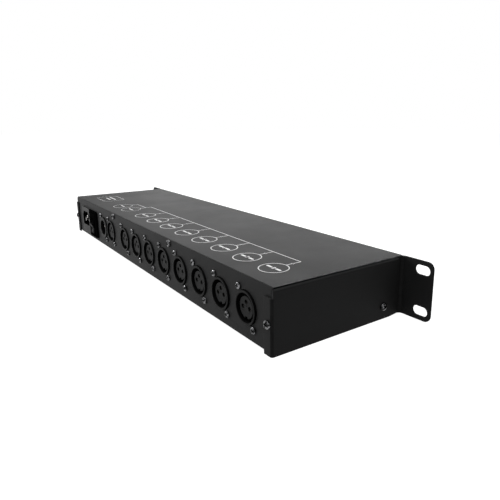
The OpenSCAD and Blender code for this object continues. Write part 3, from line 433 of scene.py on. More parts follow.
@dataclass(frozen=True)
class BrightMetal:
    """Plated or milled metal with fine turning marks and small stains."""

    name: str
    colour: Colour = (0.72, 0.71, 0.69)
    roughness: float = 0.24
    marks: float = 0.12 * MM
    # size of the dark patches painted on a recessed head as painted reflection
    oxide: float = 1.5 * MM
    stain: float = 1.6 * MM
    patch: float = 0.7 * MM
    relief: float = 0.004 * MM
    recess: str = ""
    # colour of the painted shade in the recess
    hole: float = 0.001

    def make(self) -> Material:
        """Builds the metal's material; with a recess, it paints dark reflection patches over the
        head and painted shade in the recess.

        Returns:
            The material.
        """
        w = ShaderWriter(self.name)
        c = self.colour
        if self.recess:
            # painted reflection: dark patches over most of the head, the metal's colour left in
            # spots as glints
            painted_reflections = w.ramp(w.noise(self.oxide, 2.0), (0.47, tone_of(c, 0.07)), (0.6, c))
            # painted shade: the recess is painted near black
            skin = w.mix(w.carried(self.recess), painted_reflections, grey(self.hole))
        else:
            skin = w.ramp(w.noise(self.stain, 5.0), (0.3, tone_of(c, 0.72)), (0.62, c))
        gloss = w.span(w.noise(self.patch), (self.roughness - 0.08, self.roughness + 0.14))
        w.shade(Base_Color=skin, Roughness=gloss, Metallic=1.0)
        w.bump(w.noise(self.marks, 2.0, (1.0, 1.0, 0.25)), self.relief, 0.5)
        return w.material


@dataclass(frozen=True)
class PrintInk:
    """Thin screen printed ink that lies on the coat and is slightly broken up by it."""

    name: str = "light_print_ink"
    tone: float = 0.6
    thin: float = 0.55
    flake: float = 0.8 * MM
    patch: float = 2 * MM
    grain: float = 0.4 * MM
    relief: float = 0.01 * MM
    shine: float = 0.3

    def make(self) -> Material:
        """Builds the ink's material.

        Returns:
            The material.
        """
        w = ShaderWriter(self.name)
        thin, full = (0.28, grey(self.tone * self.thin)), (0.46, grey(self.tone))
        ink = w.ramp(w.noise(self.flake), thin, full)
        gloss = w.span(w.noise(self.patch), (0.45, 0.65))
        w.shade(Base_Color=ink, Roughness=gloss, Specular_IOR_Level=self.shine)
        w.bump(w.noise(self.grain, 2.0), self.relief, 0.5)
        return w.material


@dataclass(frozen=True)
class LampLens:
    """Diffused lens of an indicator lamp."""

    name: str
    colour: Colour
    depth: float = 0.8 * MM

    def make(self) -> Material:
        """Builds the lens material.

        Returns:
            The material.
        """
        w = ShaderWriter(self.name)
        body = w.ramp(w.noise(1.2 * MM), (0.3, tone_of(self.colour, 0.8)), (0.7, self.colour))
        w.shade(Base_Color=body, Roughness=w.span(w.noise(0.6 * MM, 2.0), (0.16, 0.3)))
        w.shade(Subsurface_Weight=0.25, Subsurface_Scale=self.depth, Specular_IOR_Level=0.5)
        w.bump(w.noise(0.25 * MM, 2.0), 0.004 * MM, 0.5)
        return w.material


@dataclass(frozen=True)
class ClearGlass:
    """Thin glass of the fuse tube, with faint streaks."""

    name: str = "fuse_glass"
    colour: Colour = (0.95, 0.98, 0.97)
    drawn: Point = (0.2, 1.0, 1.0)

    def make(self) -> Material:
        """Builds the glass material.

        Returns:
            The material.
        """
        w = ShaderWriter(self.name)
        w.shade(Roughness=w.span(w.noise(1.5 * MM, stretch=self.drawn), (0.02, 0.12)))
        w.shade(Base_Color=(*self.colour, 1.0), Transmission_Weight=0.92, IOR=1.45)
        w.bump(w.noise(0.9 * MM, 2.0, self.drawn), 0.01 * MM, 0.4)
        return w.material


@dataclass(frozen=True)
class SolderMask:
    """Green circuit board with faint copper tracks under its mask."""

    name: str = "board_mask"
    colour: Colour = (0.012, 0.09, 0.035)
    pitch: float = 2.54 * MM

    def make(self) -> Material:
        """Builds the board's material.

        Returns:
            The material.
        """
        w = ShaderWriter(self.name)
        feeds = {"Vector": w.place, "Scale": 0.2 / self.pitch, "Mortar Size": 0.04}
        for name, lift in (("Color1", 1.0), ("Color2", 1.15), ("Mortar", 2.2)):
            feeds[name] = (*tone_of(self.colour, lift), 1.0)
        tracks = w.node("ShaderNodeTexBrick", feeds, offset=0.5)
        w.shade(Base_Color=tracks.outputs["Color"], Roughness=w.span(w.noise(2 * MM), (0.28, 0.4)))
        w.bump(tracks.outputs["Fac"], 0.03 * MM, 0.4)
        return w.material


@dataclass(frozen=True)
class CableJacket:
    """Soft plastic jacket of wires and of the flat cable."""

    name: str
    colour: Colour
    rib: float = 1.27 * MM

    def make(self) -> Material:
        """Builds the jacket's material.

        Returns:
            The material.
        """
        w = ShaderWriter(self.name)
        skin = w.ramp(w.noise(4 * MM), (0.3, tone_of(self.colour, 0.85)), (0.7, self.colour))
        w.shade(Base_Color=skin, Roughness=w.span(w.noise(1.2 * MM), (0.42, 0.58)))
        w.bump(w.noise(self.rib, 1.0, (1.0, 0.02, 0.02)), 0.05 * MM, 0.5)
        return w.material


# the coat of the brackets and the tray; its edge tone, below its tone, paints shade on the marked
# bends and edges
COAT_EDGE_SHADE = PowderCoat()
# the cover's coat, a little lighter; its edge tone, far above its tone, is a painted highlight on
# the cover's marked side edges
COVER_COAT_EDGE_HIGHLIGHT = PowderCoat("cover_powder_coat", tone=0.0128, worn=0.13)
SHELL = MouldedPlastic("black_socket_plastic", grey(0.003), 0.42, 0.045)
INSERT = MouldedPlastic("grey_insert_plastic", grey(0.0065, 0.01), 0.5, 0.06)
INLET = MouldedPlastic("black_inlet_plastic", grey(0.01), 0.5, 0.08)
# black plastic, darker than the inlet and without reflection: the switch frame's and the drawer's
# own black, painted shade in the inlet's well, and also laid on the flange beside the switch and
# the drawer
BLACK_AND_SHADE = MouldedPlastic("deep_black_plastic", grey(0.0022), 0.5, 0.0)
ROCKER = MouldedPlastic("rocker_plastic", grey(0.005), 0.34, 0.004)
# blackened screws; their heads carry painted reflection patches and painted shade in the cross
SCREW = BrightMetal("blackened_screw", (0.17, 0.17, 0.175), 0.2, recess="recess")
NICKEL = BrightMetal("bright_nickel")
BLADE = BrightMetal("blade_nickel", (0.42, 0.41, 0.4), 0.26)
CONTACT = BrightMetal("plated_contact", (0.35, 0.33, 0.3), 0.35)
MILLED = BrightMetal("milled_aluminium", (0.75, 0.76, 0.78), 0.34)
INK = PrintInk()
FAINT_INK = PrintInk("rocker_print_ink", 0.12, 0.7)
BOARD = SolderMask()
CHIP = MouldedPlastic("chip_epoxy", grey(0.025), 0.55)
CAN_SLEEVE = MouldedPlastic("capacitor_sleeve", (0.02, 0.03, 0.08), 0.28)
TAPE = MouldedPlastic("transformer_tape", (0.38, 0.26, 0.05), 0.5)
TERMINAL = MouldedPlastic("green_terminal", (0.03, 0.22, 0.08), 0.4)
GREEN_LENS = LampLens("green_lens", (0.12, 0.42, 0.1))
GLASS = ClearGlass()
BLACK_WIRE = CableJacket("black_wire", grey(0.03))
RIBBON = CableJacket("grey_ribbon", grey(0.3))
BEZEL = MouldedPlastic("bezel_plastic", grey(0.01), 0.3, 0.3)


class Palette:
    """Keeps one material for each finish."""

    def __init__(self) -> None:
        """Starts without materials."""
        self._made: dict[str, Material] = {}

    def of(self, finish: Finish) -> Material:
        """Looks up the material of a finish and makes it the first time.

        Args:
            finish: the finish.

        Returns:
            Its material.
        """
        if finish.name not in self._made:
            self._made[finish.name] = finish.make()
        return self._made[finish.name]


# ---- meshes ---------------------------------------------------------------------------------

WELD = 0.002 * MM  # points of a CAD mesh that lie nearer than this are one
FLAT_BELOW = 0.4  # faces that meet at less than this many degrees are one
ROUND_ABOVE = 32.0  # edges sharper than this are rounded
SHARP_ABOVE = 44.0  # edges of a rounded piece sharper than this stay sharp in its shading
ROUNDS = 5  # tries at a rounding that throws no point out
THROW = 1.8  # how many widths of the rounding a point may lie from its corner
STRAIGHT = 0.98  # part of its normal that a face has along one axis if it isn't slanted


def add_object(name: str, data: bpy.types.ID) -> Object:
    """Links a new object at the origin.

    Args:
        name: its name.
        data: its mesh, text, light or camera.

    Returns:
        The object.
    """
    item = bpy.data.objects.new(name, data)
    bpy.context.scene.collection.objects.link(item)
    return item


def evaluated(item: Object) -> Mesh:
    """Makes a mesh of an object as its modifiers or its text give it.

    Args:
        item: the object.

    Returns:
        The new mesh.
    """
    graph = bpy.context.evaluated_depsgraph_get()
    graph.update()
    return bpy.data.meshes.new_from_object(item.evaluated_get(graph), depsgraph=graph)


def settle(piece: Object) -> Object:
    """Applies the modifiers of a piece to its mesh and removes them.

    Args:
        piece: the piece.

    Returns:
        The same piece.
    """
    mesh = evaluated(piece)
    mesh.name = piece.name
    piece.modifiers.clear()
    piece.data = mesh
    return piece


def form_of(*meshes: Mesh) -> BMesh:
    """Opens meshes together as one form.

    Args:
        meshes: the meshes, which stay as they are.

    Returns:
        The form.
    """
    form = bmesh.new()
    for mesh in meshes:
        form.from_mesh(mesh)
    return form


def close(form: BMesh, mesh: Mesh) -> None:
    """Writes a form to a mesh and frees it."""
    form.to_mesh(mesh)
    form.free()


def object_from(name: str, form: BMesh) -> Object:
    """Turns a form into an object.

    Args:
        name: name of the object and its mesh.
        form: the form, which is freed.

    Returns:
        The object.
    """
    mesh = bpy.data.meshes.new(name)
    close(form, mesh)
    return add_object(name, mesh)


def joined(name: str, parts: Sequence[Object]) -> Object:
    """Joins the meshes of several objects into one new object and deletes them.

    Args:
        name: name of the new object.
        parts: the objects.

    Returns:
        The new object.
    """
    form = form_of(*(part.data for part in parts))
    for part in parts:
        bpy.data.objects.remove(part)
    return object_from(name, form)


def at(x: float, y: float, z: float) -> Matrix:
    """Returns the way from the origin to a place in millimetres."""
    return Matrix.Translation((x * MM, y * MM, z * MM))


def spun(angle: float, axis: str) -> Matrix:
    """Returns a turn about an axis, in radians."""
    return Matrix.Rotation(angle, 4, axis)


TO_FRONT = spun(QUARTER, "X")
TO_REAR = spun(math.pi, "Z") @ TO_FRONT


def turned(piece: Object, matrix: Matrix) -> Object:
    """Moves the mesh of a piece, leaves its object at the origin and returns it."""
    piece.data.transform(matrix)
    return piece


def smooth(piece: Object, angle: float) -> Object:
    """Smooths the shading of a piece.

    Args:
        piece: the piece.
        angle: edges sharper than this many degrees stay sharp.

    Returns:
        The same piece.
    """
    piece.data.shade_smooth()
    piece.data.set_sharp_from_angle(angle=math.radians(angle))
    return piece


def is_slanted(face: MeshPolygon) -> bool:
    """Tells whether a face looks along none of the axes, as a rounding does."""
    return max(map(abs, face.normal)) < STRAIGHT


def mark_faces(piece: Object, name: str, chosen: Callable[[MeshPolygon], bool]) -> None:
    """Gives a piece a face attribute that is 1 on the chosen faces and 0 elsewhere.

    Args:
        piece: the piece.
        name: name of the attribute.
        chosen: tells whether a face is chosen.
    """
    marks = piece.data.attributes
    mark = marks.get(name) or marks.new(name, "FLOAT", "FACE")
    mark.data.foreach_set("value", [float(chosen(face)) for face in piece.data.polygons])


def mark_edges(mesh: Mesh, spared: set[int]) -> None:
    """Marks the sharp edges that are to be rounded.

    Args:
        mesh: the mesh before the rounding.
        spared: corners whose edges stay sharp.
    """
    form = form_of(mesh)
    layers = form.edges.layers.float
    weight = layers.get("bevel_weight_edge") or layers.new("bevel_weight_edge")
    limit = math.radians(ROUND_ABOVE)
    for edge in form.edges:
        sharp = len(edge.link_faces) == 2 and edge.calc_face_angle(0.0) > limit
        edge[weight] = float(sharp and not any(v.index in spared for v in edge.verts))
    close(form, mesh)


def thrown_from(mesh: Mesh, corners: KDTree, reach: float) -> set[int]:
    """Finds the corners from which a rounding threw points far out.

    Args:
        mesh: the rounded mesh.
        corners: the corners before the rounding.
        reach: how far a point may lie from the nearest of them, in metres.

    Returns:
        The indices of those corners.
    """
    form = form_of(mesh)
    far = {v for v in form.verts if corners.find(v.co)[2] > reach}
    beside = {e.other_vert(v) for v in far for e in v.link_edges} - far
    found = {corners.find(v.co)[1] for v in beside}
    form.free()
    return found


def ease(piece: Object, width: float, segments: int = 2) -> Object:
    """Rounds the sharp edges of a piece, smooths its faces and marks the rounded ones.

    Args:
        piece: the object with a closed mesh.
        width: width of the rounding in millimetres.
        segments: faces across the rounding.

    Returns:
        The same object with a plain mesh.
    """
    plain = piece.data
    corners = KDTree(len(plain.vertices))
    for vertex in plain.vertices:
        corners.insert(vertex.co, vertex.index)
    corners.balance()
    spared: set[int] = set()
    for _ in range(ROUNDS):
        mark_edges(plain, spared)
        piece.data = plain
        bevel = piece.modifiers.new("ease", "BEVEL")
        bevel.width = width * MM
        bevel.segments = segments
        bevel.limit_method = "WEIGHT"
        bevel.use_clamp_overlap = bevel.loop_slide = False
        settle(piece)
        thrown = thrown_from(piece.data, corners, THROW * (width * MM)) - spared
        if not thrown:
            break
        spared |= thrown
    smooth(piece, SHARP_ABOVE)
    piece.modifiers.new("weigh", "WEIGHTED_NORMAL").keep_sharp = True
    settle(piece)
    mark_faces(piece, "edge", is_slanted)
    return piece


def carried_copy(node: str) -> Object:
    """Copies a CAD node's mesh with its loose triangles merged and flat faces joined.

    Args:
        node: the CAD node.

    Returns:
        The copy.
    """
    form = form_of(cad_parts[node].data)
    flat = math.radians(FLAT_BELOW)
    bmesh.ops.remove_doubles(form, verts=form.verts, dist=WELD)
    bmesh.ops.dissolve_limit(form, angle_limit=flat, verts=form.verts, edges=form.edges)
    return object_from(node + "_form", form)


def lathe(name: str, profile: Sequence[Flat], steps: int, unit: float = 1.0) -> Object:
    """Turns a profile round the Z axis.

    Args:
        name: name of the piece.
        profile: radius and height of each point, from bottom to top; a radius of 0 closes it.
        steps: number of faces round the axis.
        unit: what the profile is multiplied by.

    Returns:
        The closed piece with outward faces.
    """
    form = bmesh.new()
    rings: list[list[BMVert]] = []
    angles = [2.0 * math.pi * i / steps for i in range(steps)]
    for radius, height in profile:
        r, z = radius * unit, height * unit
        around = [(r * math.cos(a), r * math.sin(a), z) for a in angles]
        rings.append([form.verts.new(point) for point in (around if r > 0.0 else [(0.0, 0.0, z)])])
    for lower, upper in zip(rings, rings[1:]):
        for i in range(steps):
            j = (i + 1) % steps
            corners = [lower[i % len(lower)], lower[j % len(lower)]]
            corners += [upper[j % len(upper)], upper[i % len(upper)]]
            unique = list(dict.fromkeys(corners))
            if len(unique) > 2:
                form.faces.new(unique)
    bmesh.ops.recalc_face_normals(form, faces=form.faces)
    return object_from(name, form)


def hollow(inner: float, outer: float, low: float, high: float) -> list[Flat]:
    """Returns the profile of a tube or ring between two radii and two heights."""
    return [(inner, low), (outer, low), (outer, high), (inner, high), (inner, low)]


def solid_between(name: str, low: Sequence[Point], high: Sequence[Point]) -> Object:
    """Makes a solid between two matching outlines that run anticlockwise from above.

    Args:
        name: name of the solid.
        low: the outline below.
        high: the outline above.

    Returns:
        The solid.
    """
    form = bmesh.new()
    base, lid = ([form.verts.new(point) for point in outline] for outline in (low, high))
    form.faces.new(list(reversed(base)))
    form.faces.new(lid)
    for i in range(len(base)):
        j = (i + 1) % len(base)
        form.faces.new((base[i], base[j], lid[j], lid[i]))
    return object_from(name, form)


# ---- printed and moulded marks --------------------------------------------------------------

FILM = 0.04  # thickness of the ink in millimetres
END_STEPS = 6  # faces round each end of a bar
TEXT_SIZE = 1.38  # size of the text for digits of height 1


def pill(name: str, length: float, width: float) -> Object:
    """Makes a flat printed bar with round ends, centred on the origin along X.

    Args:
        name: name of the bar.
        length: its length in millimetres.
        width: its width in millimetres.

    Returns:
        The bar.
    """
    middle, r = (length * MM - width * MM) / 2.0, width * MM / 2.0
    outline: list[Flat] = []
    for side, start in ((1.0, 0.0), (-1.0, math.pi)):
        for step in range(END_STEPS + 1):
            a = -QUARTER + math.pi * step / END_STEPS + start
            outline.append((side * middle + r * math.cos(a), r * math.sin(a)))
    return solid_between(name, *([(*spot, z) for spot in outline] for z in (0.0, FILM * MM)))


def numeral(text: str, height: float, thickness: float = FILM, bold: float = 0.0) -> Object:
    """Makes a plain number as a flat plate, centred on the origin, from sizes in millimetres.

    Args:
        text: the digits.
        height: height of the digits.
        thickness: thickness of the plate.
        bold: how much the strokes grow to each side.

    Returns:
        The plate.
    """
    curve = bpy.data.curves.new("numeral", "FONT")
    curve.body = text
    curve.size = height * MM * TEXT_SIZE
    curve.align_x = curve.align_y = "CENTER"
    curve.extrude = thickness * MM / 2.0
    curve.resolution_u = 3
    curve.offset = bold * MM
    holder = add_object("numeral", curve)
    mesh = evaluated(holder)
    bpy.data.objects.remove(holder)
    points = np.array([v.co for v in mesh.vertices])
    x, y, z = (points.min(axis=0) + points.max(axis=0)) / 2.0
    mesh.transform(Matrix.Translation((-x, -y, thickness * MM / 2.0 - z)))
    return add_object("numeral_" + text, mesh)


# ---- the workshop ---------------------------------------------------------------------------


@dataclass(frozen=True)
class Seat:
    """Where one repeated thing sits, in millimetres, and the way it points."""

    place: Point
    outward: Point


def pair(x: float, y: float, z: float, outward: Point | None = None) -> list[Seat]:
    """Returns two seats that mirror each other, pointing outwards from the middle by default."""
    return [Seat((s * x, y, z), outward or (s, 0.0, 0.0)) for s in (-1, 1)]


class Workshop:
    """Makes pieces, gives them their finish and hands them to the frame."""

    def __init__(self) -> None:
        """Prepares the palette and the node trees."""
        self.palette = Palette()
        self.on_seats = seat_pattern()
        self.lines = line_pattern()

    def hand_over(
        self, piece: Object, finish: Finish, slot: str, *nodes: str, body: Body = Body.CHASSIS
    ) -> Object:
        """Finishes a piece and ties it to its body.

        Args:
            piece: the finished mesh object.
            finish: what its surface is.
            slot: not used.
            nodes: the CAD nodes that it stands for.
            body: the body that it rides on.

        Returns:
            The same object.
        """
        piece.data.materials.clear()
        piece.data.materials.append(self.palette.of(finish))
        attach(piece, body.value)
        if nodes:
            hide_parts(*nodes)
        faces = len(piece.data.polygons)
        LOG.info("%s: %d faces, %s, for %s", piece.name, faces, finish.name, nodes)
        return piece

    def soften(
        self,
        node: str,
        finish: Finish,
        slot: str,
        width: float,
        segments: int = 2,
        body: Body = Body.CHASSIS,
    ) -> Object:
        """Replaces a CAD node by the same form with rounded edges.

        Args:
            node: the CAD node.
            finish: its finish.
            slot: not used.
            width: width of the rounding in millimetres.
            segments: faces across the rounding.
            body: the body that it rides on.

        Returns:
            The new piece.
        """
        piece = ease(carried_copy(node), width, segments)
        return self.hand_over(piece, finish, slot, node, body=body)

    def keep(self, finish: Finish, *nodes: str) -> None:
        """Gives CAD nodes, whose form is right, their finish.

        Args:
            finish: the finish.
            nodes: the nodes.
        """
        for node in nodes:
            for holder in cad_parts[node].material_slots:
                holder.material = self.palette.of(finish)
            LOG.info("%s: kept, %s", node, finish.name)

    def on_each(
        self,
        name: str,
        template: Object,
        seats: Sequence[Seat],
        finish: Finish,
        spin: float = 0.0,
        seed: int = 1,
    ) -> Object:
        """Sets a template, made in millimetres, on every seat.

        Args:
            name: name of the new piece.
            template: the object to repeat; it is deleted afterwards.
            seats: where it sits.
            finish: its finish.
            spin: largest random turn about its own axis, in radians.
            seed: seed of the random turns.

        Returns:
            The new object with a plain mesh.
        """
        mesh = bpy.data.meshes.new(name)
        mesh.from_pydata([tuple(c * MM for c in seat.place) for seat in seats], [], [])
        outward = mesh.attributes.new("outward", "FLOAT_VECTOR", "POINT")
        outward.data.foreach_set("vector", [c for seat in seats for c in seat.outward])
        values = {"Template": template, "Scale": MM, "Largest spin": spin, "Seed": seed}
        values["Material"] = self.palette.of(finish)
        piece = self.on_seats.grow(add_object(name, mesh), values)
        bpy.data.objects.remove(template)
        return piece

    def drawn(self, name: str, paths: Sequence[Path], height: float, width: float) -> Object:
        """Draws flat lines of ink along paths, from sizes in millimetres.

        Args:
            name: name of the new piece.
            paths: points of each path, and whether it is closed.
            height: height of the paths.
            width: width of the lines.

        Returns:
            The new object with a plain mesh.
        """
        points: list[Point] = []
        edges: list[tuple[int, int]] = []
        for path, closed in paths:
            first = len(points)
            points += [(x * MM, y * MM, height * MM) for x, y in path]
            edges += [(i, i + 1) for i in range(first, len(points) - 1)]
            if closed:
                edges.append((len(points) - 1, first))
        mesh = bpy.data.meshes.new(name)
        mesh.from_pydata(points, edges, [])
        values = {"Line width": width * MM, "Ink thickness": FILM * MM}
        values["Material"] = self.palette.of(INK)
        return self.lines.grow(add_object(name, mesh), values)


# ---- sub-assemblies -------------------------------------------------------------------------


@dataclass
class Case:
    """Sheet metal case: cover, two side brackets and the base tray."""

    shop: Workshop
    sheet_edge: float = 0.3
    tray_edge: float = 0.22
    cover_end: float = 212.2
    cut_slope: float = 0.25
    lip_slope: float = 0.3
    bend_axis: Flat = (112.5, 19.8)
    bend_r: float = 2.0
    bend_shown: float = 0.9
    bend_slack: float = 0.01

    def build(self) -> None:
        """Rounds the cut edges of every sheet, and marks the cover's side edges for a painted
        highlight and the brackets' bends for painted shade.
        """
        end, slope, lip = self.cover_end * MM, self.cut_slope, self.lip_slope
        cover = carried_copy("cover")
        self._tighten(cover.data)
        ease(cover, self.sheet_edge, 3)
        # The cover's side edges are marked for its painted highlight.
        mark_faces(cover, "edge", lambda f: abs(f.center.x) > end and abs(f.normal.x) > slope)
        self.shop.hand_over(cover, COVER_COAT_EDGE_HIGHLIGHT, "case_sheet", "cover")
        for side in ("left", "right"):
            bracket = self.shop.soften("side_bracket_" + side, COAT_EDGE_SHADE, "case_sheet", self.sheet_edge)
            # The brackets' upright bends are marked for painted shade.
            mark_faces(bracket, "edge", lambda f: is_slanted(f) and abs(f.normal.z) < lip)
        self.shop.soften("base_tray", COAT_EDGE_SHADE, "case_sheet", self.tray_edge)

    def _tighten(self, mesh: Mesh) -> None:
        """Draws the outside of the cover's bend with the smaller radius that the photograph shows.

        Args:
            mesh: the cover's mesh.
        """
        y, z = self.bend_axis
        shown, shift = self.bend_shown, self.bend_r - self.bend_shown
        for vertex in mesh.vertices:
            dy, dz = vertex.co.y / MM - y, vertex.co.z / MM - z
            outside = math.hypot(dy, dz) > 0.7 * self.bend_r
            if outside and min(dy, dz) > -self.bend_slack:
                turn = math.atan2(dz, dy)
                vertex.co.y = (y + shift + shown * math.cos(turn)) * MM
                vertex.co.z = (z + shift + shown * math.sin(turn)) * MM


@dataclass
class ScrewKind:
    """Pan head screw with a cross recess."""

    head_d: float
    head_h: float
    thread_d: float
    length: float = 6.0
    rim: float = 0.42
    dome: float = 0.58
    wing: float = 0.7
    steps: int = 28

    def template(self) -> Object:
        """Makes the screw with its seat at z = 0 and its head upwards.

        Returns:
            The screw.
        """
        r, h, t, low = self.head_d / 2.0, self.head_h, self.thread_d / 2.0, -self.length
        turns = np.linspace(0.0, QUARTER, 7)[:-1]
        rise = [(r * math.cos(a), h * self.rim + h * self.dome * math.sin(a)) for a in turns]
        profile = [(0.0, low), (t * 0.7, low), (t, low + t * 0.4), (t, 0.0)]
        profile += [(r * 0.94, 0.0), (r, h * 0.1), *rise, (0.0, h)]
        screw, cutter = lathe("screw", profile, self.steps), self._cross()
        cut = screw.modifiers.new("recess", "BOOLEAN")
        cut.operation, cut.solver, cut.object = "DIFFERENCE", "EXACT", cutter
        settle(screw)
        bpy.data.objects.remove(cutter)
        smooth(screw, 38.0)
        # The recess faces are marked for the painted shade of the screw metal.
        mark_faces(screw, "recess", lambda face: self._is_sunk(face.center))
        return screw

    def _is_sunk(self, place: Vector) -> bool:
        """Tells whether a point lies in the recess, below the dome of the head.

        Args:
            place: the point.

        Returns:
            Whether it does.
        """
        r = self.head_d / 2.0
        away = min(math.hypot(place.x, place.y), r) / r
        dome = self.head_h * (self.rim + self.dome * math.sqrt(1.0 - away * away))
        return 0.0 < place.z < dome - 0.09 * self.head_h and away < 0.8

    def _cross(self) -> Object:
        """Makes the tapered cross that cuts the recess.

        Returns:
            The cross.
        """
        d, h = self.head_d, self.head_h
        outlines = []
        for z, reach, half in (
            (h * 0.18, d * 0.16, d * 0.06),
            (h * 1.15, d * self.wing / 2.0, d * 0.1),
        ):
            points = []
            for k in range(4):
                c, s = math.cos(k * QUARTER), math.sin(k * QUARTER)
                corner = ((reach, -half), (reach, half), (half, half))
                points += [(x * c - y * s, x * s + y * c, z) for x, y in corner]
            outlines.append(points)
        return solid_between("cross", *outlines)


@dataclass
class Screws:
    """Every screw that shows on the case."""

    shop: Workshop
    socket_x: Sequence[float]
    panel: float = 114.5
    corner: Point = (210.9, 116.0, -2.0)
    block: Point = (70.0, 114.5, 18.2)
    side: Point = (215.0, 18.0, -13.0)
    socket_spread: Flat = (8.5, 12.5)
    first_seed: int = 3

    def build(self) -> None:
        """Sets the case screws and the socket screws."""
        case, small = ScrewKind(5.8, 2.0, 3.0), ScrewKind(5.0, 1.7, 2.5)
        dx, dz = self.socket_spread
        places = [(x + s * dx, self.panel, s * dz) for x in self.socket_x for s in (-1, 1)]
        back = (0.0, 1.0, 0.0)
        rows = {
            "corner_screws": (case, pair(*self.corner, back)),
            "block_screws": (case, pair(*self.block, back)),
            "side_screws": (case, pair(*self.side)),
            "socket_screws": (small, [Seat(place, back) for place in places]),
        }
        for seed, (node, (kind, seats)) in enumerate(rows.items(), self.first_seed):
            name = node + "_cross"
            piece = self.shop.on_each(name, kind.template(), seats, SCREW, QUARTER, seed)
            self.shop.hand_over(piece, SCREW, "screw_steel", node)


@dataclass
class RoundSocket:
    """One round three-pole socket: shell, insert and the numbers of its contacts."""

    shop: Workshop
    name: str
    x: float
    gender: Gender
    contact_r: float = 3.81
    face: float = 114.5
    carrier: float = 102.9
    shell_edge: float = 0.32
    insert_edge: float = 0.18
    number: Flat = (1.3, 0.1)
    number_z: Flat = (-2.5, 1.0)

    def build(self) -> None:
        """Makes the shell and the insert."""
        self.shop.soften(self.name + "_housing", SHELL, "socket_shell", self.shell_edge, 3)
        self.shop.soften(self.name + "_insert", INSERT, "socket_insert", self.insert_edge)

    def numbers(self) -> list[Object]:
        """Makes the moulded numbers beside the contacts, turned to face the rear.

        Returns:
            The three numbers.
        """
        y = self.face if self.gender is Gender.FEMALE else self.carrier
        r, (low, high) = self.contact_r, self.number_z
        made = []
        for text, dx, z in (("1", r, low), ("2", -r, low), ("3", 0.0, high)):
            made.append(turned(numeral(text, *self.number), at(self.x - dx, y, z) @ TO_REAR))
        return made


@dataclass
class SocketRow:
    """All ten sockets of the rear panel."""

    shop: Workshop
    first_output: float = 38.5
    pitch: float = 32.0
    link: float = 81.0
    entry: float = 107.0

    def spots(self) -> dict[str, float]:
        """Returns the place along X of each socket by name."""
        outputs = {f"output_{k + 1}": self.first_output - k * self.pitch for k in range(CHANNELS)}
        return {**outputs, "link": self.link, "input": self.entry}

    def build(self) -> None:
        """Makes every socket and finishes their contacts."""
        marks: list[Object] = []
        for name, x in self.spots().items():
            gender = Gender.MALE if name == "input" else Gender.FEMALE
            socket = RoundSocket(self.shop, name, x, gender)
            socket.build()
            marks += socket.numbers()
        self.shop.hand_over(joined("contact_numbers", marks), INSERT, "socket_insert")
        self.shop.keep(CONTACT, "output_contacts", "link_contacts", "input_pins")


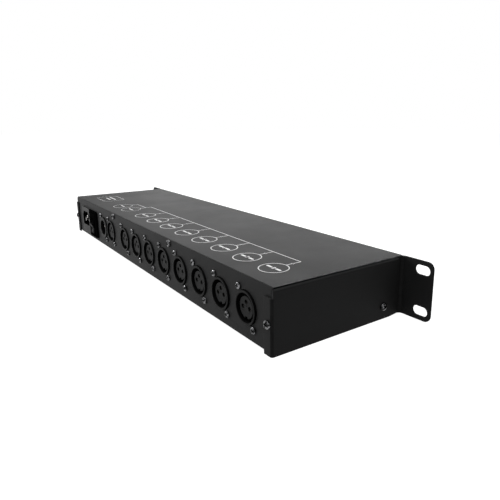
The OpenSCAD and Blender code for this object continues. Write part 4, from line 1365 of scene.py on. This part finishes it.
@dataclass
class InletModule:
    """Power inlet with its blades, rocker switch and fuse drawer."""

    shop: Workshop
    switch_x: float = 144.4
    switch_z: float = -6.5
    axis_y: float = 115.5
    waist: float = 1.6
    rise: float = 1.8
    half: float = 6.0
    tilt: float = math.radians(-10.0)
    bar: Flat = (2.6, 0.7)
    ring: Flat = (0.95, 1.35)
    drawer_z: float = 6.8
    drawer_back: float = 101.3
    drawer_wall: float = 2.0
    fuse_gap: float = 0.15
    fuse_d: float = 5.2
    fuse_l: float = 20.0
    cap_l: float = 5.0
    cap_lip: float = 0.4
    cap_rim: float = 0.2
    glass: float = 0.5
    wire_r: float = 0.12
    column_x: float = 156.6
    mouth_y: float = 114.6
    housing_edge: float = 0.35
    blade_edge: float = 0.3
    frame_edge: float = 0.22
    rocker_edge: float = 0.4
    drawer_edge: float = 0.28
    cap_edge: float = 0.1

    def build(self) -> None:
        """Makes the module and what moves in it."""
        soften, plastic = self.shop.soften, "inlet_plastic"
        self._darken(soften("inlet_housing", INLET, plastic, self.housing_edge))
        soften("inlet_blades", BLADE, "blade_metal", self.blade_edge)
        soften("switch_frame", BLACK_AND_SHADE, plastic, self.frame_edge)
        soften("rocker", ROCKER, "rocker_plastic", self.rocker_edge, 3, Body.ROCKER)
        soften("fuse_drawer", BLACK_AND_SHADE, plastic, self.drawer_edge, body=Body.DRAWER)
        self.shop.keep(BLADE, "switch_tabs")
        self._rocker_marks()
        self._fuse()

    def _darken(self, housing: Object) -> None:
        """Gives the well painted shade in a deeper black without reflection, and the flange round
        the switch and the drawer the same black.

        Args:
            housing: the finished housing.
        """
        side, mouth = self.column_x * MM, self.mouth_y * MM
        form = form_of(housing.data)
        whole = form.verts[:] + form.edges[:] + form.faces[:]
        normal = (1.0, 0.0, 0.0)
        bmesh.ops.bisect_plane(form, geom=whole, plane_co=(side, 0.0, 0.0), plane_no=normal)
        for face in form.faces:
            middle = face.calc_center_median()
            # 1 picks the deeper black: painted shade in the well, and the flange beside the switch
            #                           and the drawer
            face.material_index = int(middle.x < side or middle.y < mouth)
        close(form, housing.data)
        housing.data.materials.append(self.shop.palette.of(BLACK_AND_SHADE))

    def _rocker_marks(self) -> None:
        """Prints the bar and the ring of the two positions on the rocker."""
        slope = math.atan2(self.rise, self.half)
        tip = at(self.switch_x, self.axis_y, self.switch_z) @ spun(self.tilt, "X")
        bar = turned(pill("bar", *self.bar), spun(QUARTER, "Z"))
        ring = lathe("ring", hollow(*self.ring, 0.0, FILM), 32, MM)
        for mark, side in ((bar, 1.0), (ring, -1.0)):
            middle = at(0.0, self.waist + self.rise / 2.0, side * self.half / 2.0)
            turned(mark, tip @ middle @ spun(-side * slope, "X") @ TO_REAR)
        marks = joined("rocker_marks", [bar, ring])
        self.shop.hand_over(marks, FAINT_INK, "rocker_plastic", body=Body.ROCKER)

    def _fuse(self) -> None:
        """Makes the fuse from a glass tube, two caps and its wire."""
        r, half, lip, rim = self.fuse_d / 2.0, self.fuse_l / 2.0, self.cap_lip, self.cap_rim
        y = self.drawer_back + self.drawer_wall + self.fuse_gap + r
        across = at(self.switch_x, y, self.drawer_z) @ spun(QUARTER, "Y")
        mouth = half - self.cap_l
        outline = [(0.0, mouth), (r - rim, mouth), (r, mouth + rim), (r, half - lip)]
        outline += [(r - lip, half), (0.0, half)]
        caps = [lathe("cap", outline, 32, MM) for _ in range(2)]
        turned(caps[0], spun(math.pi, "X"))
        caps = [turned(cap, across) for cap in caps]
        metal = ease(joined("fuse_caps", caps), self.cap_edge)
        outer, end = r - self.glass / 2.0, mouth + self.glass
        tube = lathe("fuse_tube", hollow(outer - self.glass, outer, -end, end), 32, MM)
        thread = [(0.0, -end), (self.wire_r, -end), (self.wire_r, end), (0.0, end)]
        wire = turned(lathe("fuse_wire", thread, 8, MM), across)
        smooth(turned(tube, across), 40.0)
        for piece, finish in ((metal, NICKEL), (tube, GLASS), (wire, NICKEL)):
            self.shop.hand_over(piece, finish, "fuse_glass", "fuse", body=Body.DRAWER)


@dataclass
class Indicators:
    """Ten lamps in clip bezels on the front panel."""

    shop: Workshop
    front: float = -1.5
    inner: float = -0.3
    first: float = -70.0
    pitch: float = 20.0
    signal_step: float = 35.0
    power_x: float = 190.0
    lens_d: float = 3.0
    lens_l: float = 6.0
    stand: float = 1.0
    play: float = 0.05
    bezel_d: float = 6.0
    bezel_t: float = 0.8
    sleeve_wall: float = 0.7

    def spots(self) -> list[float]:
        """Returns the place along X of every lamp."""
        outputs = (self.first + k * self.pitch for k in range(CHANNELS))
        return [self.first - self.signal_step, *outputs, self.power_x]

    def build(self) -> None:
        """Makes the lamps and their bezels."""
        seats = [Seat((x, self.front, 0.0), (0.0, -1.0, 0.0)) for x in self.spots()]
        bezels = self.shop.on_each("bezels", self._bezel(), seats, BEZEL)
        self.shop.hand_over(bezels, BEZEL, "bezel_black", "indicator_bezels")
        lamps = self.shop.on_each("lamps", self._lens(), seats, GREEN_LENS)
        self.shop.hand_over(lamps, GREEN_LENS, "lamp_lens", "indicator_lamps")
        self.shop.keep(BOARD, "led_board")
        self.shop.keep(RIBBON, "led_ribbon")

    def _bezel(self) -> Object:
        """Makes one bezel with a rounded rim, its seat at z = 0.

        Returns:
            The bezel.
        """
        outer, bore, t = self.bezel_d / 2.0, self.lens_d / 2.0 + self.play, self.bezel_t
        sleeve = self.lens_d / 2.0 + self.sleeve_wall
        back = -(self.inner - self.front + 2.0 * t)
        profile = [(bore, back), (sleeve, back), (sleeve, 0.0), (outer, 0.0), (outer, t * 0.4)]
        profile += [(outer - 0.12, t * 0.75), (outer - 0.45, t)]
        profile += [(bore + 0.25, t), (bore, t - 0.25), (bore, back)]
        return smooth(lathe("bezel", profile, 32), 50.0)

    def _lens(self) -> Object:
        """Makes one lamp with a domed tip.

        Returns:
            The lamp.
        """
        r, tip = self.lens_d / 2.0, self.bezel_t + self.stand
        back = -(self.inner + self.lens_l - self.front)
        turns = np.linspace(0.0, QUARTER, 7)[:-1]
        dome = [(r * math.cos(a), tip - r + r * math.sin(a)) for a in turns]
        return smooth(lathe("lens", [(0.0, back), (r, back), *dome, (0.0, tip)], 24), 50.0)


@dataclass
class PrintedMarks:
    """Light lines, bars and plain numbers on the top and on the front."""

    shop: Workshop
    spots: dict[str, float]
    lamps: Sequence[float]
    top: float = 21.8
    front: float = -1.5
    ring_y: float = 91.6
    ring_r: float = 10.2
    squeeze: float = 0.994
    bus_y: float = 68.5
    link_step: float = 6.0
    arrow: Flat = (1.1, 1.2)
    line: float = 0.66
    fine: float = 0.45
    number: float = 3.4
    bold: float = 0.1
    side_bar: Flat = (5.8, 1.9)
    side_bar_x: float = 4.9
    name_bar: Flat = (11.0, 1.4)
    label_low: Flat = (155.0, 79.0)
    label_high: Flat = (182.0, 93.0)
    label_r: float = 5.0
    label_x: float = 169.0
    label_bars: tuple[Flat, ...] = ((22.0, 1.7), (15.0, 1.7))
    label_rows: Flat = (83.0, 88.5)
    front_number: float = 3.0
    front_bar: Flat = (7.0, 1.2)
    front_line: Flat = (12.0, 0.5)
    front_z: float = 7.0

    def __post_init__(self) -> None:
        """Draws the printed row a little together, as the print shows it."""
        fixed = self.spots["output_1"]
        self.spots = {name: fixed + (x - fixed) * self.squeeze for name, x in self.spots.items()}

    def build(self) -> None:
        """Prints the top and the front."""
        outputs = [name for name in self.spots if name.startswith("output_")]
        level = self.top + FILM / 2.0
        bold, fine = self._rings(outputs) + self._tracks(), self._rings(["link", "input"])
        lines = self.shop.drawn("top_lines", bold, level, self.line)
        fine_lines = self.shop.drawn("top_fine_lines", fine + self._label(), level, self.fine)
        top = joined("top_print", [lines, fine_lines, *self._top_marks()])
        self.shop.hand_over(top, INK, "case_sheet")
        self.shop.hand_over(joined("front_print", self._front_marks()), INK, "case_sheet")

    @staticmethod
    def _arc(x: float, y: float, r: float, turns: Sequence[float]) -> list[Flat]:
        """Returns points on a circle at the given turns."""
        return [(x + r * math.cos(a), y + r * math.sin(a)) for a in turns]

    def _rings(self, names: Sequence[str]) -> list[Path]:
        """Returns one circle for each of the named sockets."""
        turns = np.linspace(0.0, 2.0 * math.pi, 64, endpoint=False)
        return [(self._arc(self.spots[k], self.ring_y, self.ring_r, turns), True) for k in names]

    def _tracks(self) -> list[Path]:
        """Returns the stubs with their small arrows, and the line that joins them.

        Returns:
            The paths.
        """
        wide, long = self.arrow
        start, bus = self.ring_y - self.ring_r, self.bus_y
        middle = (start + bus) / 2.0
        tail, point = middle + long, middle - long
        paths = [([(self.spots["link"], bus), (self.spots["output_8"], bus)], False)]
        for x in [x for name, x in self.spots.items() if name != "input"]:
            paths.append(([(x, start), (x, tail)], False))
            paths.append(([(x, point), (x, bus)], False))
            paths.append(([(x - wide, tail), (x + wide, tail), (x, point)], True))
        link, entry, bend = self.spots["link"], self.spots["input"], bus + self.link_step
        paths.append(([(entry, start), (entry, bend), (link, bend)], False))
        return paths

    def _label(self) -> list[Path]:
        """Draws the rounded outline of the label field.

        Returns:
            The closed path.
        """
        (x0, y0), (x1, y1) = self.label_low, self.label_high
        points = []
        for start, (x, y) in enumerate(((x1, y1), (x0, y1), (x0, y0), (x1, y0))):
            turns = [(start + k / 6.0) * math.pi / 2.0 for k in range(7)]
            points += self._arc(x, y, self.label_r, turns)
        return [(points, True)]

    def _on_top(self, mark: Object, x: float, y: float) -> Object:
        """Lays a mark on the top, readable from behind, and returns it."""
        return turned(mark, at(x, y, self.top) @ spun(math.pi, "Z"))

    def _top_marks(self) -> list[Object]:
        """Makes the numbers and bars inside the circles and in the label field.

        Returns:
            The marks.
        """
        made, y = [], self.ring_y
        for name, x in self.spots.items():
            number = name.removeprefix("output_")
            if number.isdigit():
                made.append(self._on_top(numeral(number, self.number, FILM, self.bold), x, y))
                for side in (-1.0, 1.0):
                    bar = pill("bar", *self.side_bar)
                    made.append(self._on_top(bar, x + side * self.side_bar_x, y))
            else:
                made.append(self._on_top(pill("bar", *self.name_bar), x, y))
        for size, row in zip(self.label_bars, self.label_rows):
            made.append(self._on_top(pill("bar", *size), self.label_x, row))
        return made

    def _front_marks(self) -> list[Object]:
        """Makes the numbers under the output lamps and bars under the other two.

        Returns:
            The marks.
        """
        made = []
        for index, x in enumerate(self.lamps):
            output = 0 < index < len(self.lamps) - 1
            text = str(index)
            mark = numeral(text, self.front_number) if output else pill("bar", *self.front_bar)
            made.append(turned(mark, at(x, self.front, -self.front_z) @ TO_FRONT))
        first, last = self.lamps[1], self.lamps[-2]
        past, width = self.front_line
        line = pill("line", last - first + past, width)
        middle = at((first + last) / 2.0, self.front, self.front_z)
        return [*made, turned(line, middle @ TO_FRONT)]


@dataclass
class Electronics:
    """What the closed case holds: boards, parts, posts and wires."""

    shop: Workshop

    def build(self) -> None:
        """Finishes the inner nodes, whose forms stay as they are."""
        finishes: dict[Finish, tuple[str, ...]] = {
            BOARD: ("main_board", "supply_board"),
            CHIP: ("optocouplers", "line_drivers", "isolated_supplies"),
            CAN_SLEEVE: ("board_capacitors", "supply_capacitor"),
            TAPE: ("supply_transformer",),
            TERMINAL: ("supply_terminals",),
            MILLED: ("mounting_blocks", "board_posts", "supply_posts"),
            NICKEL: ("board_screws", "supply_screws"),
            BLACK_WIRE: ("mains_wires", "low_voltage_wires"),
        }
        for finish, nodes in finishes.items():
            self.shop.keep(finish, *nodes)


# ---- studio ---------------------------------------------------------------------------------


@dataclass(frozen=True)
class Lamp:
    """A rectangular soft light, in metres and watts."""

    name: str
    place: Point
    target: Point
    size: Flat
    power: float

    def build(self) -> None:
        """Adds the light and turns it to its target."""
        data = bpy.data.lights.new(self.name, "AREA")
        data.shape = "RECTANGLE"
        data.size, data.size_y = self.size
        data.energy = self.power
        lamp = add_object(self.name, data)
        lamp.location = self.place
        aim = Vector(self.target) - Vector(self.place)
        lamp.rotation_mode = "QUATERNION"
        lamp.rotation_quaternion = aim.to_track_quat("-Z", "Y")


LAMPS = (
    Lamp("overhead", (-0.15, 0.05, 1.3), (0.0, 0.05, 0.0), (1.7, 1.0), 21.0),
    Lamp("key", (1.0, 0.9, 0.5), (0.0, 0.1, 0.0), (0.4, 0.4), 11.0),
    Lamp("sheen", (1.08, -1.1, 0.5), (-0.1, 0.05, 0.0), (1.9, 0.6), 9.6),
)


@dataclass(frozen=True)
class Studio:
    """White surroundings, soft lights and the photograph's camera."""

    lamps: tuple[Lamp, ...] = LAMPS
    floor_z: float = -22.6 * MM
    floor_half: float = 6.0
    floor_white: float = 0.93
    ambient: float = 0.26
    bounce: float = 0.3
    camera_place: Point = (-422.245 * MM, 266.458 * MM, 115.324 * MM)
    forward: Point = (0.787803, -0.568941, -0.235952)
    roll: float = math.radians(-0.2351)
    lens: float = 33.923
    sensor: float = 36.0
    shift: Flat = (-0.0401, -0.0288)
    sight: Flat = (0.01, 50.0)

    def build(self) -> None:
        """Sets up the view, the world, the floor, the lamps and the camera."""
        bpy.context.scene.view_settings.view_transform = "Standard"
        self._world()
        self._floor()
        for lamp in self.lamps:
            lamp.build()
        self._camera()

    @staticmethod
    def _seen(w: TreeWriter) -> NodeSocket:
        """Adds nodes that tell camera, glossy and transmission rays from all others.

        Args:
            w: writer of the world's or the floor's tree.

        Returns:
            A value that is 1 for those rays.
        """
        path = w.node("ShaderNodeLightPath").outputs
        total = path["Is Camera Ray"]
        for name in ("Is Glossy Ray", "Is Transmission Ray"):
            feeds = {0: total, 1: path[name]}
            total = w.node("ShaderNodeMath", feeds, operation="MAXIMUM").outputs[0]
        return total

    def _world(self) -> None:
        """Makes a white world that lights the object softly."""
        world = bpy.data.worlds.new("white")
        bpy.context.scene.world = world
        world.use_nodes = True
        w = TreeWriter(world.node_tree)
        lit, seen = (
            w.node("ShaderNodeBackground", {"Color": WHITE, "Strength": strength}).outputs[0]
            for strength in (self.ambient, 1.0)
        )
        mix = w.node("ShaderNodeMixShader", {"Fac": self._seen(w), 1: lit, 2: seen})
        w.node("ShaderNodeOutputWorld", {"Surface": mix.outputs[0]})

    def _floor(self) -> None:
        """Makes a white floor that keeps a faint shadow."""
        h, z, b = self.floor_half, self.floor_z, self.bounce
        mesh = bpy.data.meshes.new("floor")
        mesh.from_pydata([(-h, -h, z), (h, -h, z), (h, h, z), (-h, h, z)], [], [(0, 1, 2, 3)])
        material = bpy.data.materials.new("white_floor")
        material.use_nodes = True
        w = TreeWriter(material.node_tree)
        diffuse = w.node("ShaderNodeBsdfDiffuse", {"Color": (b, b, b, 1.0)}).outputs[0]
        glow = w.node("ShaderNodeEmission", {"Color": WHITE, "Strength": self.floor_white})
        both = w.node("ShaderNodeAddShader", {0: diffuse, 1: glow.outputs[0]}).outputs[0]
        mix = w.node("ShaderNodeMixShader", {"Fac": self._seen(w), 1: diffuse, 2: both})
        w.node("ShaderNodeOutputMaterial", {"Surface": mix.outputs[0]})
        mesh.materials.append(material)
        add_object("floor", mesh)

    def _camera(self) -> None:
        """Adds the camera of the photograph."""
        data = bpy.data.cameras.new("photo_camera")
        data.lens = self.lens
        data.sensor_width = self.sensor
        data.shift_x, data.shift_y = self.shift
        data.clip_start, data.clip_end = self.sight
        camera = add_object("photo_camera", data)
        ahead = Vector(self.forward).normalized()
        level = ahead.cross(Vector((0.0, 0.0, 1.0))).normalized()
        above = level.cross(ahead)
        right = math.cos(self.roll) * level + math.sin(self.roll) * above
        turn = Matrix((right, right.cross(ahead), -ahead)).transposed()
        camera.matrix_world = Matrix.Translation(Vector(self.camera_place)) @ turn.to_4x4()
        bpy.context.scene.camera = camera


def main() -> None:
    """Builds the studio and every piece in order."""
    logging.basicConfig(level=logging.INFO, format="%(name)s: %(message)s")
    Studio().build()
    shop = Workshop()
    row = SocketRow(shop)
    lamps = Indicators(shop)
    Case(shop).build()
    row.build()
    Screws(shop, list(row.spots().values())).build()
    InletModule(shop).build()
    lamps.build()
    Electronics(shop).build()
    PrintedMarks(shop, row.spots(), lamps.spots()).build()


if __name__ == "__main__":
    main()
